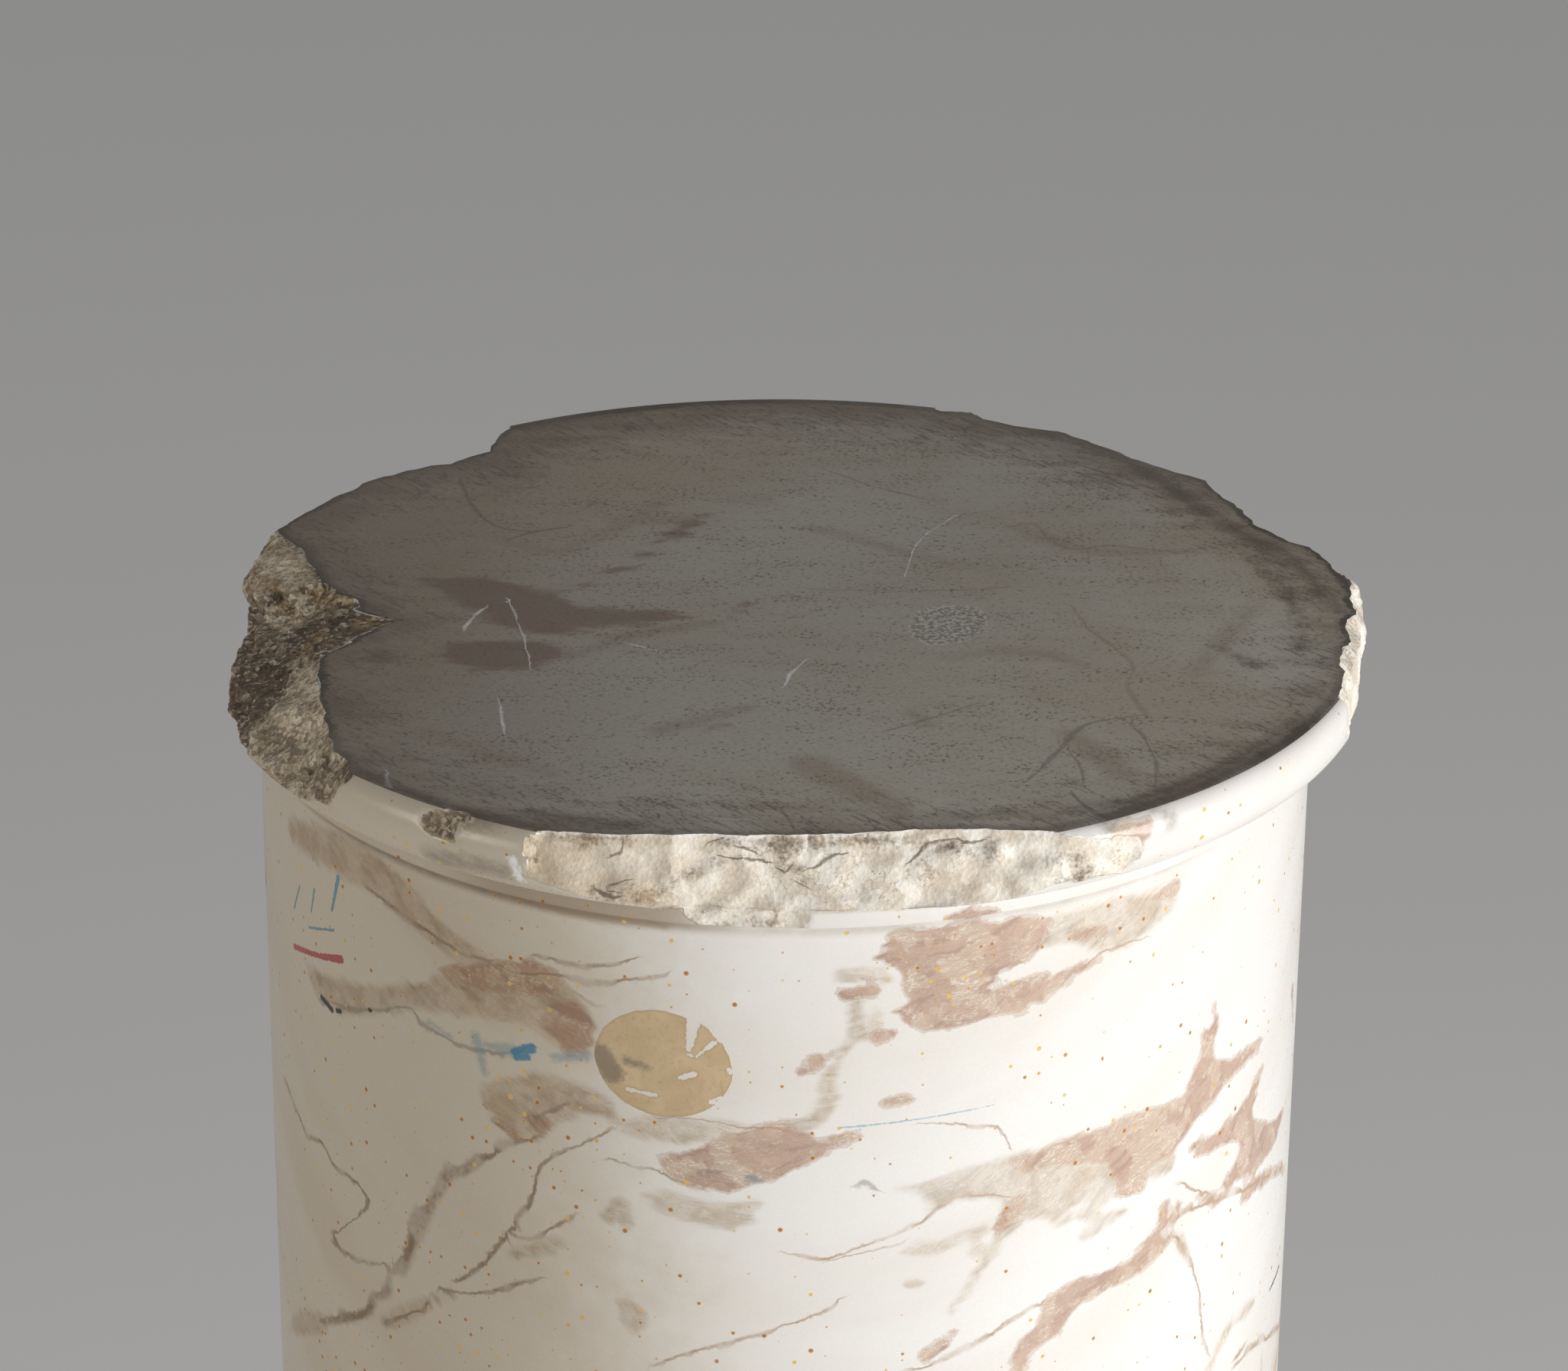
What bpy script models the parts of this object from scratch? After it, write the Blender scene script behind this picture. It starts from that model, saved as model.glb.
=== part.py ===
"""Marble column shaft with a moulded collar, its rim broken all round the head.

A plain cylinder of stone. At the head it carries a collar turned from the same block: a bead under the flat
bed, then a narrow fillet. At the foot it stands on a plain fillet that a hollow curve joins to the shaft.
The front of the photographed column faces -Y, and the origin is the middle of its underside.
"""

import math

import bmesh
import bpy
from mathutils import Vector, noise

# Driving dimensions, in metres
HEIGHT = 1.100
SHAFT_RADIUS = 0.150

# Collar at the head, from the flat bed downwards
BED_EDGE_RADIUS = 0.162
BEAD_RADIUS = 0.1665
BEAD_SHOULDER_HEIGHT = 0.006
BEAD_BELLY_HEIGHT = 0.013
BEAD_FOOT_RADIUS = 0.158
FILLET_RADIUS = 0.1545
FILLET_STEP_HEIGHT = 0.0015
FILLET_FACE_HEIGHT = 0.0045
CREASE_RADIUS = 0.151
CREASE_HEIGHT = 0.0015
NECK_HEIGHT = 0.003
COLLAR_SHIFT = 0.0009
COLLAR_HEIGHT = (
    BEAD_SHOULDER_HEIGHT + BEAD_BELLY_HEIGHT + FILLET_STEP_HEIGHT + FILLET_FACE_HEIGHT + CREASE_HEIGHT
)

# Foot, from the underside upwards
FOOT_RADIUS = 0.168
FOOT_FILLET_HEIGHT = 0.030
FOOT_ARRIS = 0.0015
FOOT_HOLLOW_HEIGHT = 0.024

# Fineness of the mesh
COLUMNS = 200
BED_RINGS = 7
SHOULDER_STEPS = 4
BELLY_STEPS = 4
HOLLOW_STEPS = 4

# Every break leaves stone inside this ring, from which its depth is measured
CORE_RADIUS = 0.106
CORE_DEPTH = 0.032

# Relief of the broken faces
CHIP_SIZE = 0.022
CHIP_DEPTH = 0.0009

# Breaks round the rim. Each corner is an azimuth in degrees, from 0 at the front to 90 at the right and 180
# at the back, then how far the bed's edge has gone back in metres, and how steeply the broken face falls
# outwards in degrees. A loss of WHOLE clears the bead, so the rim is whole there.
WHOLE = -0.010
FRONT_BREAK = [
    (-26, WHOLE, 74), (-23, 0.001, 74), (-19, 0.0034, 72), (-13, 0.0079, 73), (-11, 0.0090, 84),
    (-7, 0.0105, 87), (0, 0.0125, 86), (2, 0.0128, 74), (6, 0.0129, 72), (13, 0.0114, 71),
    (20, 0.0072, 73), (25, 0.0005, 80), (27, -0.0030, 94), (32, -0.0050, 106), (34, WHOLE, 106),
]
RIGHT_CHIPS = [
    (73, WHOLE, 46), (75, 0.0015, 46), (78, 0.0040, 46), (82, 0.0030, 48), (84, -0.0010, 50),
    (86, 0.0015, 52), (89, -0.0020, 52), (91, WHOLE, 52),
]
RIGHT_FLANK = [
    (65, WHOLE, 88), (68, -0.0030, 88), (72, -0.0002, 89), (76, 0.0006, 88), (83, 0.0006, 88),
    (87, 0.0004, 86), (90, -0.0040, 80), (93, WHOLE, 80),
]
BACK_RIGHT_BREAK = [
    (96, WHOLE, 60), (98, -0.0010, 60), (101, 0.0015, 62), (107, 0.0035, 64), (109, 0.0075, 66),
    (112, 0.0098, 66), (115, 0.0114, 68), (121, 0.0081, 66), (125, 0.0072, 64), (128, 0.0032, 62),
    (132, 0.0066, 64), (137, 0.0072, 66), (144, 0.0046, 64), (149, 0.0022, 62), (154, 0.0050, 64),
    (158, 0.0030, 62), (160, -0.0002, 60), (163, 0.0012, 62), (165, WHOLE, 60),
]
BACK_LEFT_BREAK = [
    (-149, WHOLE, 62), (-147, 0.0022, 62), (-144.5, 0.0075, 66), (-142, 0.0135, 68), (-136, 0.0148, 70),
    (-134, 0.0118, 68), (-130, 0.0092, 68), (-127, 0.0065, 66), (-116, 0.0052, 64), (-112, 0.0040, 62),
    (-109.5, 0.0024, 60), (-107, 0.0036, 60), (-104, 0.0050, 60), (-102, WHOLE, 60),
]
LEFT_CHUNK = [
    (-111, WHOLE, 12), (-110, 0.003, 12), (-107, 0.0115, 12), (-103, 0.0200, 13), (-98, 0.0256, 13),
    (-93, 0.0330, 14), (-90, WHOLE, 14),
]
LEFT_HOLLOW = [
    (-98, WHOLE, 28), (-95.5, 0.0250, 28), (-91, 0.0345, 22), (-86, 0.0370, 21), (-82, 0.0380, 21),
    (-76, 0.0350, 22), (-70, 0.0260, 27), (-62, 0.0187, 33), (-55, 0.0127, 38), (-50, 0.0045, 44),
    (-46.5, 0.0016, 48), (-43, WHOLE, 50),
]
LEFT_TONGUE = [
    (-91, 0.0340, 12), (-86, 0.0440, 9), (-83.5, 0.0515, 7), (-81.5, 0.0470, 7), (-77, 0.0350, 10),
]
LEFT_FLANK = [
    (-107, WHOLE, 96), (-104, 0.0016, 96), (-102, 0.0040, 96), (-98, 0.0074, 95), (-95, 0.0108, 90),
    (-91, 0.0102, 86), (-87, 0.0068, 85), (-84, 0.0042, 84), (-80, 0.0026, 84), (-76, 0.0018, 84),
    (-71, 0.0014, 85), (-64, 0.0006, 86), (-58, -0.0006, 86), (-52, -0.0026, 86), (-48, WHOLE, 86),
]
BREAKS = [
    FRONT_BREAK, RIGHT_CHIPS, RIGHT_FLANK, BACK_RIGHT_BREAK, BACK_LEFT_BREAK,
    LEFT_CHUNK, LEFT_HOLLOW, LEFT_TONGUE, LEFT_FLANK,
]

# Finish of polished white marble
MARBLE_COLOUR = (0.80, 0.76, 0.71, 1.0)
MARBLE_ROUGHNESS = 0.25


def clear_scene():
    """Take every object that is already there out of the scene."""
    for thing in list(bpy.data.objects):
        bpy.data.objects.remove(thing, do_unlink=True)


def arc(steps, first, last):
    """Angles in radians from first to last degree, without the first."""
    return [math.radians(first + (last - first) * (k + 1) / steps) for k in range(steps)]


def bed_profile():
    """Rings of the flat bed, outside the core, as (radius, drop below the bed)."""
    span = BED_EDGE_RADIUS - CORE_RADIUS
    return [(CORE_RADIUS + span * k / BED_RINGS, 0.0) for k in range(BED_RINGS + 1)]


def bead_profile():
    """Quarter ellipses of the bead's shoulder and of its belly below the widest point."""
    points = []
    for turn in arc(SHOULDER_STEPS, 0, 90):
        radius = BED_EDGE_RADIUS + (BEAD_RADIUS - BED_EDGE_RADIUS) * math.sin(turn)
        points.append((radius, BEAD_SHOULDER_HEIGHT * (1 - math.cos(turn))))
    for turn in arc(BELLY_STEPS, 0, 90):
        radius = BEAD_FOOT_RADIUS + (BEAD_RADIUS - BEAD_FOOT_RADIUS) * math.cos(turn)
        points.append((radius, BEAD_SHOULDER_HEIGHT + BEAD_BELLY_HEIGHT * math.sin(turn)))
    return points


def fillet_profile():
    """Narrow upright band under the bead, and the neck that leads into the shaft."""
    drop = BEAD_SHOULDER_HEIGHT + BEAD_BELLY_HEIGHT
    points = []
    for radius, height in (
        (FILLET_RADIUS, FILLET_STEP_HEIGHT),
        (FILLET_RADIUS, FILLET_FACE_HEIGHT),
        (CREASE_RADIUS, CREASE_HEIGHT),
        (SHAFT_RADIUS, NECK_HEIGHT),
    ):
        drop += height
        points.append((radius, drop))
    return points


def foot_profile():
    """Hollow curve from the shaft to the foot's fillet, the fillet and the flat underside."""
    hollow_depth = FOOT_RADIUS - SHAFT_RADIUS
    top = HEIGHT - FOOT_FILLET_HEIGHT - FOOT_HOLLOW_HEIGHT
    points = [(SHAFT_RADIUS, top)]
    for turn in arc(HOLLOW_STEPS, 0, 90):
        radius = SHAFT_RADIUS + hollow_depth * (1 - math.cos(turn))
        points.append((radius, top + FOOT_HOLLOW_HEIGHT * math.sin(turn)))
    points.append((FOOT_RADIUS, HEIGHT - FOOT_ARRIS))
    points.append((FOOT_RADIUS - FOOT_ARRIS, HEIGHT))
    return points


def break_at(corners, azimuth):
    """Loss and slope of a break at an azimuth in degrees, or None outside it."""
    for (start, loss, slope), (end, next_loss, next_slope) in zip(corners, corners[1:]):
        if start <= azimuth <= end:
            share = (azimuth - start) / (end - start)
            return loss + share * (next_loss - loss), slope + share * (next_slope - slope)
    return None


def cut_back(radius, drop, azimuth, breaks_here):
    """Move a point of the whole profile towards the core until it lies on the deepest break."""
    if drop > COLLAR_HEIGHT:
        return radius, drop
    keep = 1.0
    for loss, slope in breaks_here:
        outward = math.sin(math.radians(slope))
        upward = math.cos(math.radians(slope))
        edge = BED_EDGE_RADIUS - loss
        above = (radius - edge) * outward - drop * upward
        core_above = (CORE_RADIUS - edge) * outward - CORE_DEPTH * upward
        if above <= 0:
            continue
        reach = -core_above / (above - core_above)
        hit_radius = CORE_RADIUS + (radius - CORE_RADIUS) * reach
        turn = math.radians(azimuth)
        hit = Vector((hit_radius * math.sin(turn), -hit_radius * math.cos(turn), -drop * reach))
        relief = CHIP_DEPTH * noise.noise(hit / CHIP_SIZE)
        keep = min(keep, (relief - core_above) / (above - core_above))
    return CORE_RADIUS + (radius - CORE_RADIUS) * keep, CORE_DEPTH + (drop - CORE_DEPTH) * keep


def profile_at(azimuth, whole_profile):
    """Profile of the column at one azimuth, with its breaks."""
    found = [break_at(corners, azimuth) for corners in BREAKS]
    breaks_here = [pair for pair in found if pair]
    return [cut_back(radius, drop, azimuth, breaks_here) for radius, drop in whole_profile]


def column_mesh():
    """One closed body: a ring of profiles, with a flat bed and a flat underside."""
    whole_profile = bed_profile() + bead_profile() + fillet_profile() + foot_profile()
    body = bmesh.new()
    rows = []
    for column in range(COLUMNS):
        azimuth = -180 + 360 * column / COLUMNS
        turn = math.radians(azimuth)
        row = []
        for radius, drop in profile_at(azimuth, whole_profile):
            shift = COLLAR_SHIFT if drop < COLLAR_HEIGHT else 0.0
            place = (shift + radius * math.sin(turn), -radius * math.cos(turn), HEIGHT - drop)
            row.append(body.verts.new(place))
        rows.append(row)
    bed_middle = body.verts.new((0, 0, HEIGHT))
    underside_middle = body.verts.new((0, 0, 0))
    for row, beside in zip(rows, rows[1:] + rows[:1]):
        body.faces.new((bed_middle, row[0], beside[0]))
        body.faces.new((underside_middle, beside[-1], row[-1]))
        for k in range(len(row) - 1):
            body.faces.new((row[k], row[k + 1], beside[k + 1], beside[k]))
    bmesh.ops.recalc_face_normals(body, faces=body.faces)
    mesh = bpy.data.meshes.new("column_shaft")
    body.to_mesh(mesh)
    body.free()
    return mesh


def marble():
    """Pale polished marble."""
    material = bpy.data.materials.new("marble")
    material.use_nodes = True
    shader = material.node_tree.nodes["Principled BSDF"]
    shader.inputs["Base Color"].default_value = MARBLE_COLOUR
    shader.inputs["Roughness"].default_value = MARBLE_ROUGHNESS
    shader.inputs["Metallic"].default_value = 0.0
    return material


def main():
    clear_scene()
    mesh = column_mesh()
    mesh.materials.append(marble())
    mesh.shade_smooth()
    mesh.set_sharp_from_angle(angle=math.radians(30))
    column = bpy.data.objects.new("column_shaft", mesh)
    bpy.context.scene.collection.objects.link(column)


main()
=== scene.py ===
"""Looks of the marble column shaft: a fine mesh over its solid, its stone, a floor and soft lights."""

import math
from collections import namedtuple

import bpy
import numpy as np
from mathutils import Matrix, Vector, noise


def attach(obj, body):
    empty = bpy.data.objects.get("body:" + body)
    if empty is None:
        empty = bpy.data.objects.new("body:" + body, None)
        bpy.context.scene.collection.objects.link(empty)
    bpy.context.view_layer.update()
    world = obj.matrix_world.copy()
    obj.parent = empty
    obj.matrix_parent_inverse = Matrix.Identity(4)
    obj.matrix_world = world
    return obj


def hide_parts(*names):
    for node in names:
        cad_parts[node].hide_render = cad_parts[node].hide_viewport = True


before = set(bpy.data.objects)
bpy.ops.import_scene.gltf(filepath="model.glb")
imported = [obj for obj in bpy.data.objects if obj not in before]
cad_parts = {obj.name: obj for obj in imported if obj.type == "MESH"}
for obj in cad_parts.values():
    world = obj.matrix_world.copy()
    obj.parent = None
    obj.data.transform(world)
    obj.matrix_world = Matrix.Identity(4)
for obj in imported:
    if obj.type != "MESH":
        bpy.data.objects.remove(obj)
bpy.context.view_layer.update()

# Sizes of the solid, in metres, as in part.py
HEIGHT = 1.100
SHAFT_RADIUS = 0.150
BED_EDGE_RADIUS = 0.162
BEAD_RADIUS = 0.1665
BEAD_SHOULDER_HEIGHT = 0.006
BEAD_BELLY_HEIGHT = 0.013
BEAD_FOOT_RADIUS = 0.158
FILLET_RADIUS = 0.1545
FILLET_STEP_HEIGHT = 0.0015
FILLET_FACE_HEIGHT = 0.0045
CREASE_RADIUS = 0.151
CREASE_HEIGHT = 0.0015
NECK_HEIGHT = 0.003
COLLAR_SHIFT = 0.0009
COLLAR_HEIGHT = (
    BEAD_SHOULDER_HEIGHT + BEAD_BELLY_HEIGHT + FILLET_STEP_HEIGHT + FILLET_FACE_HEIGHT + CREASE_HEIGHT
)
FOOT_RADIUS = 0.168
FOOT_FILLET_HEIGHT = 0.030
FOOT_ARRIS = 0.0015
FOOT_HOLLOW_HEIGHT = 0.024
CORE_RADIUS = 0.106
CORE_DEPTH = 0.032

# Breaks round the rim, as in part.py: azimuth in degrees, from 0 at the front to 90 at the right, then the
# loss of the bed's edge in metres and how steeply the broken face falls outwards in degrees
WHOLE = -0.010
FRONT_BREAK = [
    (-26, WHOLE, 74), (-23, 0.001, 74), (-19, 0.0034, 72), (-13, 0.0079, 73), (-11, 0.0090, 84),
    (-7, 0.0105, 87), (-3, 0.0118, 85), (2, 0.0128, 77), (6, 0.0129, 72), (13, 0.0114, 71),
    (20, 0.0072, 73), (25, 0.0005, 80), (27, -0.0030, 94), (32, -0.0050, 106), (34, WHOLE, 106),
]
RIGHT_CHIPS = [
    (67, WHOLE, 60), (68.5, 0.0004, 70), (72, 0.0014, 72), (75, 0.0026, 68), (76.2, 0.0044, 50),
    (78, 0.0050, 46), (80.5, 0.0047, 46), (81.9, 0.0028, 50), (83.5, 0.0040, 46), (85.5, 0.0047, 46),
    (87.6, 0.0040, 48), (89, 0.0012, 54), (92, 0.0015, 62), (96, 0.0012, 66), (97.8, WHOLE, 70),
]
RIGHT_FLANK = [
    (65.5, WHOLE, 88), (67.6, -0.0033, 88), (71, -0.0006, 88), (73.4, 0.0014, 88), (78.4, 0.0011, 88),
    (82, 0.0009, 88), (85.5, 0.0004, 88), (88, 0.0006, 88), (89.5, 0.0011, 88), (91.5, -0.0012, 88),
    (94, -0.0034, 88), (96, WHOLE, 88),
]
BACK_RIGHT_BREAK = [
    (96, WHOLE, 60), (98, -0.0010, 60), (101, 0.0015, 62), (107, 0.0035, 64), (109, 0.0075, 66),
    (112, 0.0098, 66), (115, 0.0114, 68), (121, 0.0081, 66), (125, 0.0072, 64), (128, 0.0032, 62),
    (132, 0.0066, 64), (137, 0.0072, 66), (144, 0.0046, 64), (149, 0.0022, 62), (154, 0.0050, 64),
    (158, 0.0030, 62), (160, -0.0002, 60), (163, 0.0012, 62), (165, WHOLE, 60),
]
BACK_LEFT_BREAK = [
    (-149, WHOLE, 62), (-147, 0.0022, 62), (-144.5, 0.0075, 66), (-142, 0.0135, 68), (-136, 0.0148, 70),
    (-134, 0.0118, 68), (-130, 0.0092, 68), (-127, 0.0065, 66), (-116, 0.0052, 64), (-112, 0.0040, 62),
    (-109.5, 0.0024, 60), (-107, 0.0036, 60), (-104, 0.0050, 60), (-102, WHOLE, 60),
]
LEFT_CHUNK = [
    (-111, WHOLE, 12), (-110, 0.0018, 12), (-107.4, 0.0085, 12), (-105.4, 0.0153, 12), (-99.2, 0.0241, 13),
    (-97, 0.0262, 13), (-93.4, 0.0322, 14), (-90, WHOLE, 14),
]
LEFT_HOLLOW = [
    (-98, WHOLE, 32), (-95.5, 0.0280, 30), (-91, 0.0345, 24), (-86, 0.0370, 22), (-82, 0.0382, 22),
    (-77, 0.0372, 24), (-74.5, 0.0312, 27), (-69.6, 0.0242, 33), (-66, 0.0218, 37), (-59.3, 0.0159, 46),
    (-55.2, 0.0118, 50), (-51, 0.0061, 56), (-47, 0.0028, 58), (-44.5, -0.0010, 58), (-43, WHOLE, 58),
]
LEFT_TONGUE = [
    (-91, 0.0340, 12), (-88, 0.0375, 10), (-85.5, 0.0440, 9), (-83.5, 0.0515, 7), (-81.7, 0.0465, 7),
    (-77, 0.0350, 10),
]
LEFT_FLANK = [
    (-107.5, WHOLE, 88), (-105.5, -0.0020, 88), (-103, 0.0012, 88), (-101.2, 0.0056, 88), (-97, 0.0068, 88),
    (-94.5, 0.0069, 88), (-89.5, 0.0062, 88), (-85, 0.0048, 88), (-80, 0.0035, 88), (-76, 0.0021, 88),
    (-71.5, 0.0004, 88), (-67.5, -0.0010, 88), (-62.5, -0.0030, 88), (-59, WHOLE, 88),
]
RIM_CHIP = [
    (-35.5, WHOLE, 60), (-34.2, -0.0016, 60), (-32.6, 0.0003, 58), (-31.2, 0.0008, 56), (-30, -0.0008, 60),
    (-29, WHOLE, 60),
]

# Each break with how dirty and how crumbled its face is, from 0 to 1, and its scoops' size and depth in
# metres
Break = namedtuple("Break", "corners dirt crumbled scoop_size scoop_depth")
BREAKS = [
    Break(FRONT_BREAK, 0.10, 0.45, 0.0150, 0.0024), Break(RIM_CHIP, 0.60, 0.4, 0.0050, 0.0008),
    Break(RIGHT_CHIPS, 0.30, 0.3, 0.0060, 0.0008), Break(RIGHT_FLANK, 0.10, 0.2, 0.0060, 0.0006),
    Break(BACK_RIGHT_BREAK, 0.65, 0.6, 0.0100, 0.0014), Break(BACK_LEFT_BREAK, 0.70, 0.6, 0.0100, 0.0014),
    Break(LEFT_CHUNK, 0.48, 0.15, 0.0180, 0.0022), Break(LEFT_HOLLOW, 0.80, 1.0, 0.0110, 0.0040),
    Break(LEFT_TONGUE, 0.80, 0.8, 0.0080, 0.0016), Break(LEFT_FLANK, 0.60, 0.6, 0.0080, 0.0014),
]

# Camera of the photograph: its frame in pixels, lens in pixels, place in metres and turn in degrees
PICTURE_WIDTH = 2050
PICTURE_HEIGHT = 1792
LENS_PIXELS = 7093.1
CAMERA_PLACE = Vector((0.0, -1.4172, 1.7100))
CAMERA_TILT = 24.132
CAMERA_TURN = 0.017
CAMERA_ROLL = 0.459
SENSOR_WIDTH = 36.0
PIXELS_PER_METRE = 4830.0
MILLIMETRES = 1000.0

# Zones of azimuth in degrees and the step between the mesh's columns there
COLUMN_ZONES = [
    (-150, -112, 1.0), (-112, -42, 0.4), (-42, -28, 0.6), (-28, 36, 0.4), (36, 66, 0.75),
    (66, 96, 0.5), (96, 166, 1.0), (166, 210, 2.0),
]
INNER_BED_RADIUS = 0.064
BED_RING_STEP = 0.004
BED_EDGE_STEPS = 14
FACE_STEPS = 22
SHOULDER_STEPS = 7
BELLY_STEPS = 12
SHOWN_SHAFT_DROP = 0.250
SHAFT_STEPS = 66
LOWER_SHAFT_STEPS = 12
FOOT_HOLLOW_STEPS = 8
WHOLE_EDGE_RADIUS = 0.1611
SHARP_ANGLE = 32.0

# Heights above a break, in metres: of points far from any, and the one below which a break is left out. The
# last is how far the bed's edge stays outside the core
NO_BREAK = -0.005
NEAR_BREAK = -0.004
CORE_MARGIN = 0.002

# Seed that fixes the tilts of the broken stone's facets from run to run
FACET_SEED = 7
noise.seed_set(FACET_SEED)

# Relief of the broken faces, in metres and degrees
FACET_SIZE = 0.0095
FACET_DEPTH = 0.0012
FACET_MEAN = 0.35
CELL_SPREAD = 7.3
CRUMB_SIZE = 0.0034
CRUMB_DEPTH = 0.0008
GRIT_SIZE = 0.0012
GRIT_DEPTH = 0.0003
EDGE_EASE = 1.1
EASE_RUN = 0.008
SCOOP_MEAN = 0.22
WOBBLE_SIZE = 0.009
WOBBLE_TURN = 3.0
WOBBLE_RUN = 0.010

# Crest of the left break, between its dark upper hollow and its paler lower face
CREST_START = Vector((-0.1275, -0.0112))
CREST_END = Vector((-0.1466, -0.0653))
CREST_EDGE = 0.0022
CREST_WAVE = 0.0022
CREST_WAVE_SIZE = 0.012
CREST_FLAT = 0.002
CREST_STRETCH = 0.4
CREST_CLEANING = 0.13
HOLLOW_DEPTH = 0.0032
HOLLOW_REACH = 0.030
FACE_RISE = 0.0022
FACE_REACH = 0.018


def camera_turn():
    """Rotation of the camera from its own axes to the world's."""
    turn = Matrix.Rotation(math.radians(CAMERA_TURN), 3, "Z")
    tilt = Matrix.Rotation(math.radians(90 - CAMERA_TILT), 3, "X")
    roll = Matrix.Rotation(math.radians(CAMERA_ROLL), 3, "Z")
    return turn @ tilt @ roll


def pixel_ray(x, y):
    """Direction in which the camera sees a pixel of the photograph."""
    along = Vector((x - PICTURE_WIDTH / 2, PICTURE_HEIGHT / 2 - y, -LENS_PIXELS))
    return (camera_turn() @ along).normalized()


def on_bed(x, y):
    """Place on the bed's plane, in metres, that a pixel shows."""
    ray = pixel_ray(x, y)
    reach = (HEIGHT - CAMERA_PLACE.z) / ray.z
    place = CAMERA_PLACE + reach * ray
    return place.x, place.y


def on_shaft(x, y, radius=SHAFT_RADIUS):
    """Place on a cylinder that a pixel shows: the arc from the front and the drop below the bed."""
    ray = pixel_ray(x, y)
    flat_ray = Vector((ray.x, ray.y))
    start = Vector((CAMERA_PLACE.x, CAMERA_PLACE.y))
    square = flat_ray.dot(flat_ray)
    half = start.dot(flat_ray)
    rest = half * half - square * (start.dot(start) - radius * radius)
    reach = (-half - math.sqrt(max(rest, 0.0))) / square
    place = CAMERA_PLACE + reach * ray
    return math.atan2(place.x, -place.y) * SHAFT_RADIUS, HEIGHT - place.z


def arc(steps, first, last):
    """Angles in radians from first to last degree, without the first."""
    return [math.radians(first + (last - first) * (k + 1) / steps) for k in range(steps)]


def break_at(corners, azimuth):
    """Loss and slope of a break at an azimuth in degrees, or None outside it."""
    for (start, loss, slope), (end, next_loss, next_slope) in zip(corners, corners[1:]):
        if start <= azimuth <= end:
            share = (azimuth - start) / (end - start)
            return loss + share * (next_loss - loss), slope + share * (next_slope - slope)
    return None


def facets(point, size, depth):
    """Hewn relief: the lowest of the tilted planes round the nearest cells."""
    cells = noise.voronoi(point / size)[1]
    lowest = min(noise.noise_vector(cell * CELL_SPREAD).dot(point / size - cell) for cell in cells)
    return depth * (lowest + FACET_MEAN)


def scoops(point, size, depth):
    """Shell-like relief: smooth hollows that meet in sharp ridges."""
    return depth * (SCOOP_MEAN - abs(noise.noise(point / size)))


def crest_places(point):
    """Distance along the left break's crest and across it, positive on the paler face."""
    along = (CREST_END - CREST_START).normalized()
    across = Vector((-along.y, along.x))
    offset = Vector((point.x, point.y)) - CREST_START
    return offset.dot(along), offset.dot(across)


def crest_share(point):
    """Which side of the crest a point is on: from -1 in the hollow to 1 on the paler face."""
    wave = CREST_WAVE * noise.noise(point / CREST_WAVE_SIZE)
    return min(max((crest_places(point)[1] + wave) / CREST_EDGE, -1.0), 1.0)


def relief_at(point, broken):
    """Height of the broken stone over a break's even face, in metres."""
    height = 0.0
    grained = point
    if broken.corners is LEFT_HOLLOW:
        along, across = crest_places(point)
        side = crest_share(point)
        reach = FACE_REACH if side > 0 else HOLLOW_REACH
        fade = 1 - min(max((abs(across) - CREST_FLAT) / reach, 0.0), 1.0)
        height += side * fade * (FACE_RISE if side > 0 else HOLLOW_DEPTH)
        grained = Vector((along * CREST_STRETCH, across, point.z))
    height += scoops(grained, broken.scoop_size, broken.scoop_depth)
    height += facets(grained, FACET_SIZE, FACET_DEPTH)
    height += broken.crumbled * facets(grained, CRUMB_SIZE, CRUMB_DEPTH)
    height += broken.crumbled * GRIT_DEPTH * noise.noise(point / GRIT_SIZE)
    return height


def soil_at(point, broken):
    """How dirty the broken stone is at a point, from 0 to 1."""
    if broken.corners is LEFT_HOLLOW:
        return broken.dirt - CREST_CLEANING * (1 + crest_share(point))
    return broken.dirt


def whole_profile():
    """Bead, fillet, neck and shown shaft below the bed's edge, as (radius, drop)."""
    points = []
    for turn in arc(SHOULDER_STEPS, 0, 90):
        radius = BED_EDGE_RADIUS + (BEAD_RADIUS - BED_EDGE_RADIUS) * math.sin(turn)
        points.append((radius, BEAD_SHOULDER_HEIGHT * (1 - math.cos(turn))))
    for turn in arc(BELLY_STEPS, 0, 90):
        radius = BEAD_FOOT_RADIUS + (BEAD_RADIUS - BEAD_FOOT_RADIUS) * math.cos(turn)
        points.append((radius, BEAD_SHOULDER_HEIGHT + BEAD_BELLY_HEIGHT * math.sin(turn)))
    steps = [
        (FILLET_RADIUS, FILLET_STEP_HEIGHT, 2), (FILLET_RADIUS, FILLET_FACE_HEIGHT, 4),
        (CREASE_RADIUS, CREASE_HEIGHT, 2), (SHAFT_RADIUS, NECK_HEIGHT, 2),
    ]
    for radius, height, parts in steps:
        last_radius, last_drop = points[-1]
        for k in range(parts):
            share = (k + 1) / parts
            points.append((last_radius + (radius - last_radius) * share, last_drop + height * share))
    neck_end = points[-1][1]
    span = SHOWN_SHAFT_DROP - neck_end
    points += [(SHAFT_RADIUS, neck_end + span * (k + 1) / SHAFT_STEPS) for k in range(SHAFT_STEPS)]
    return points


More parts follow.
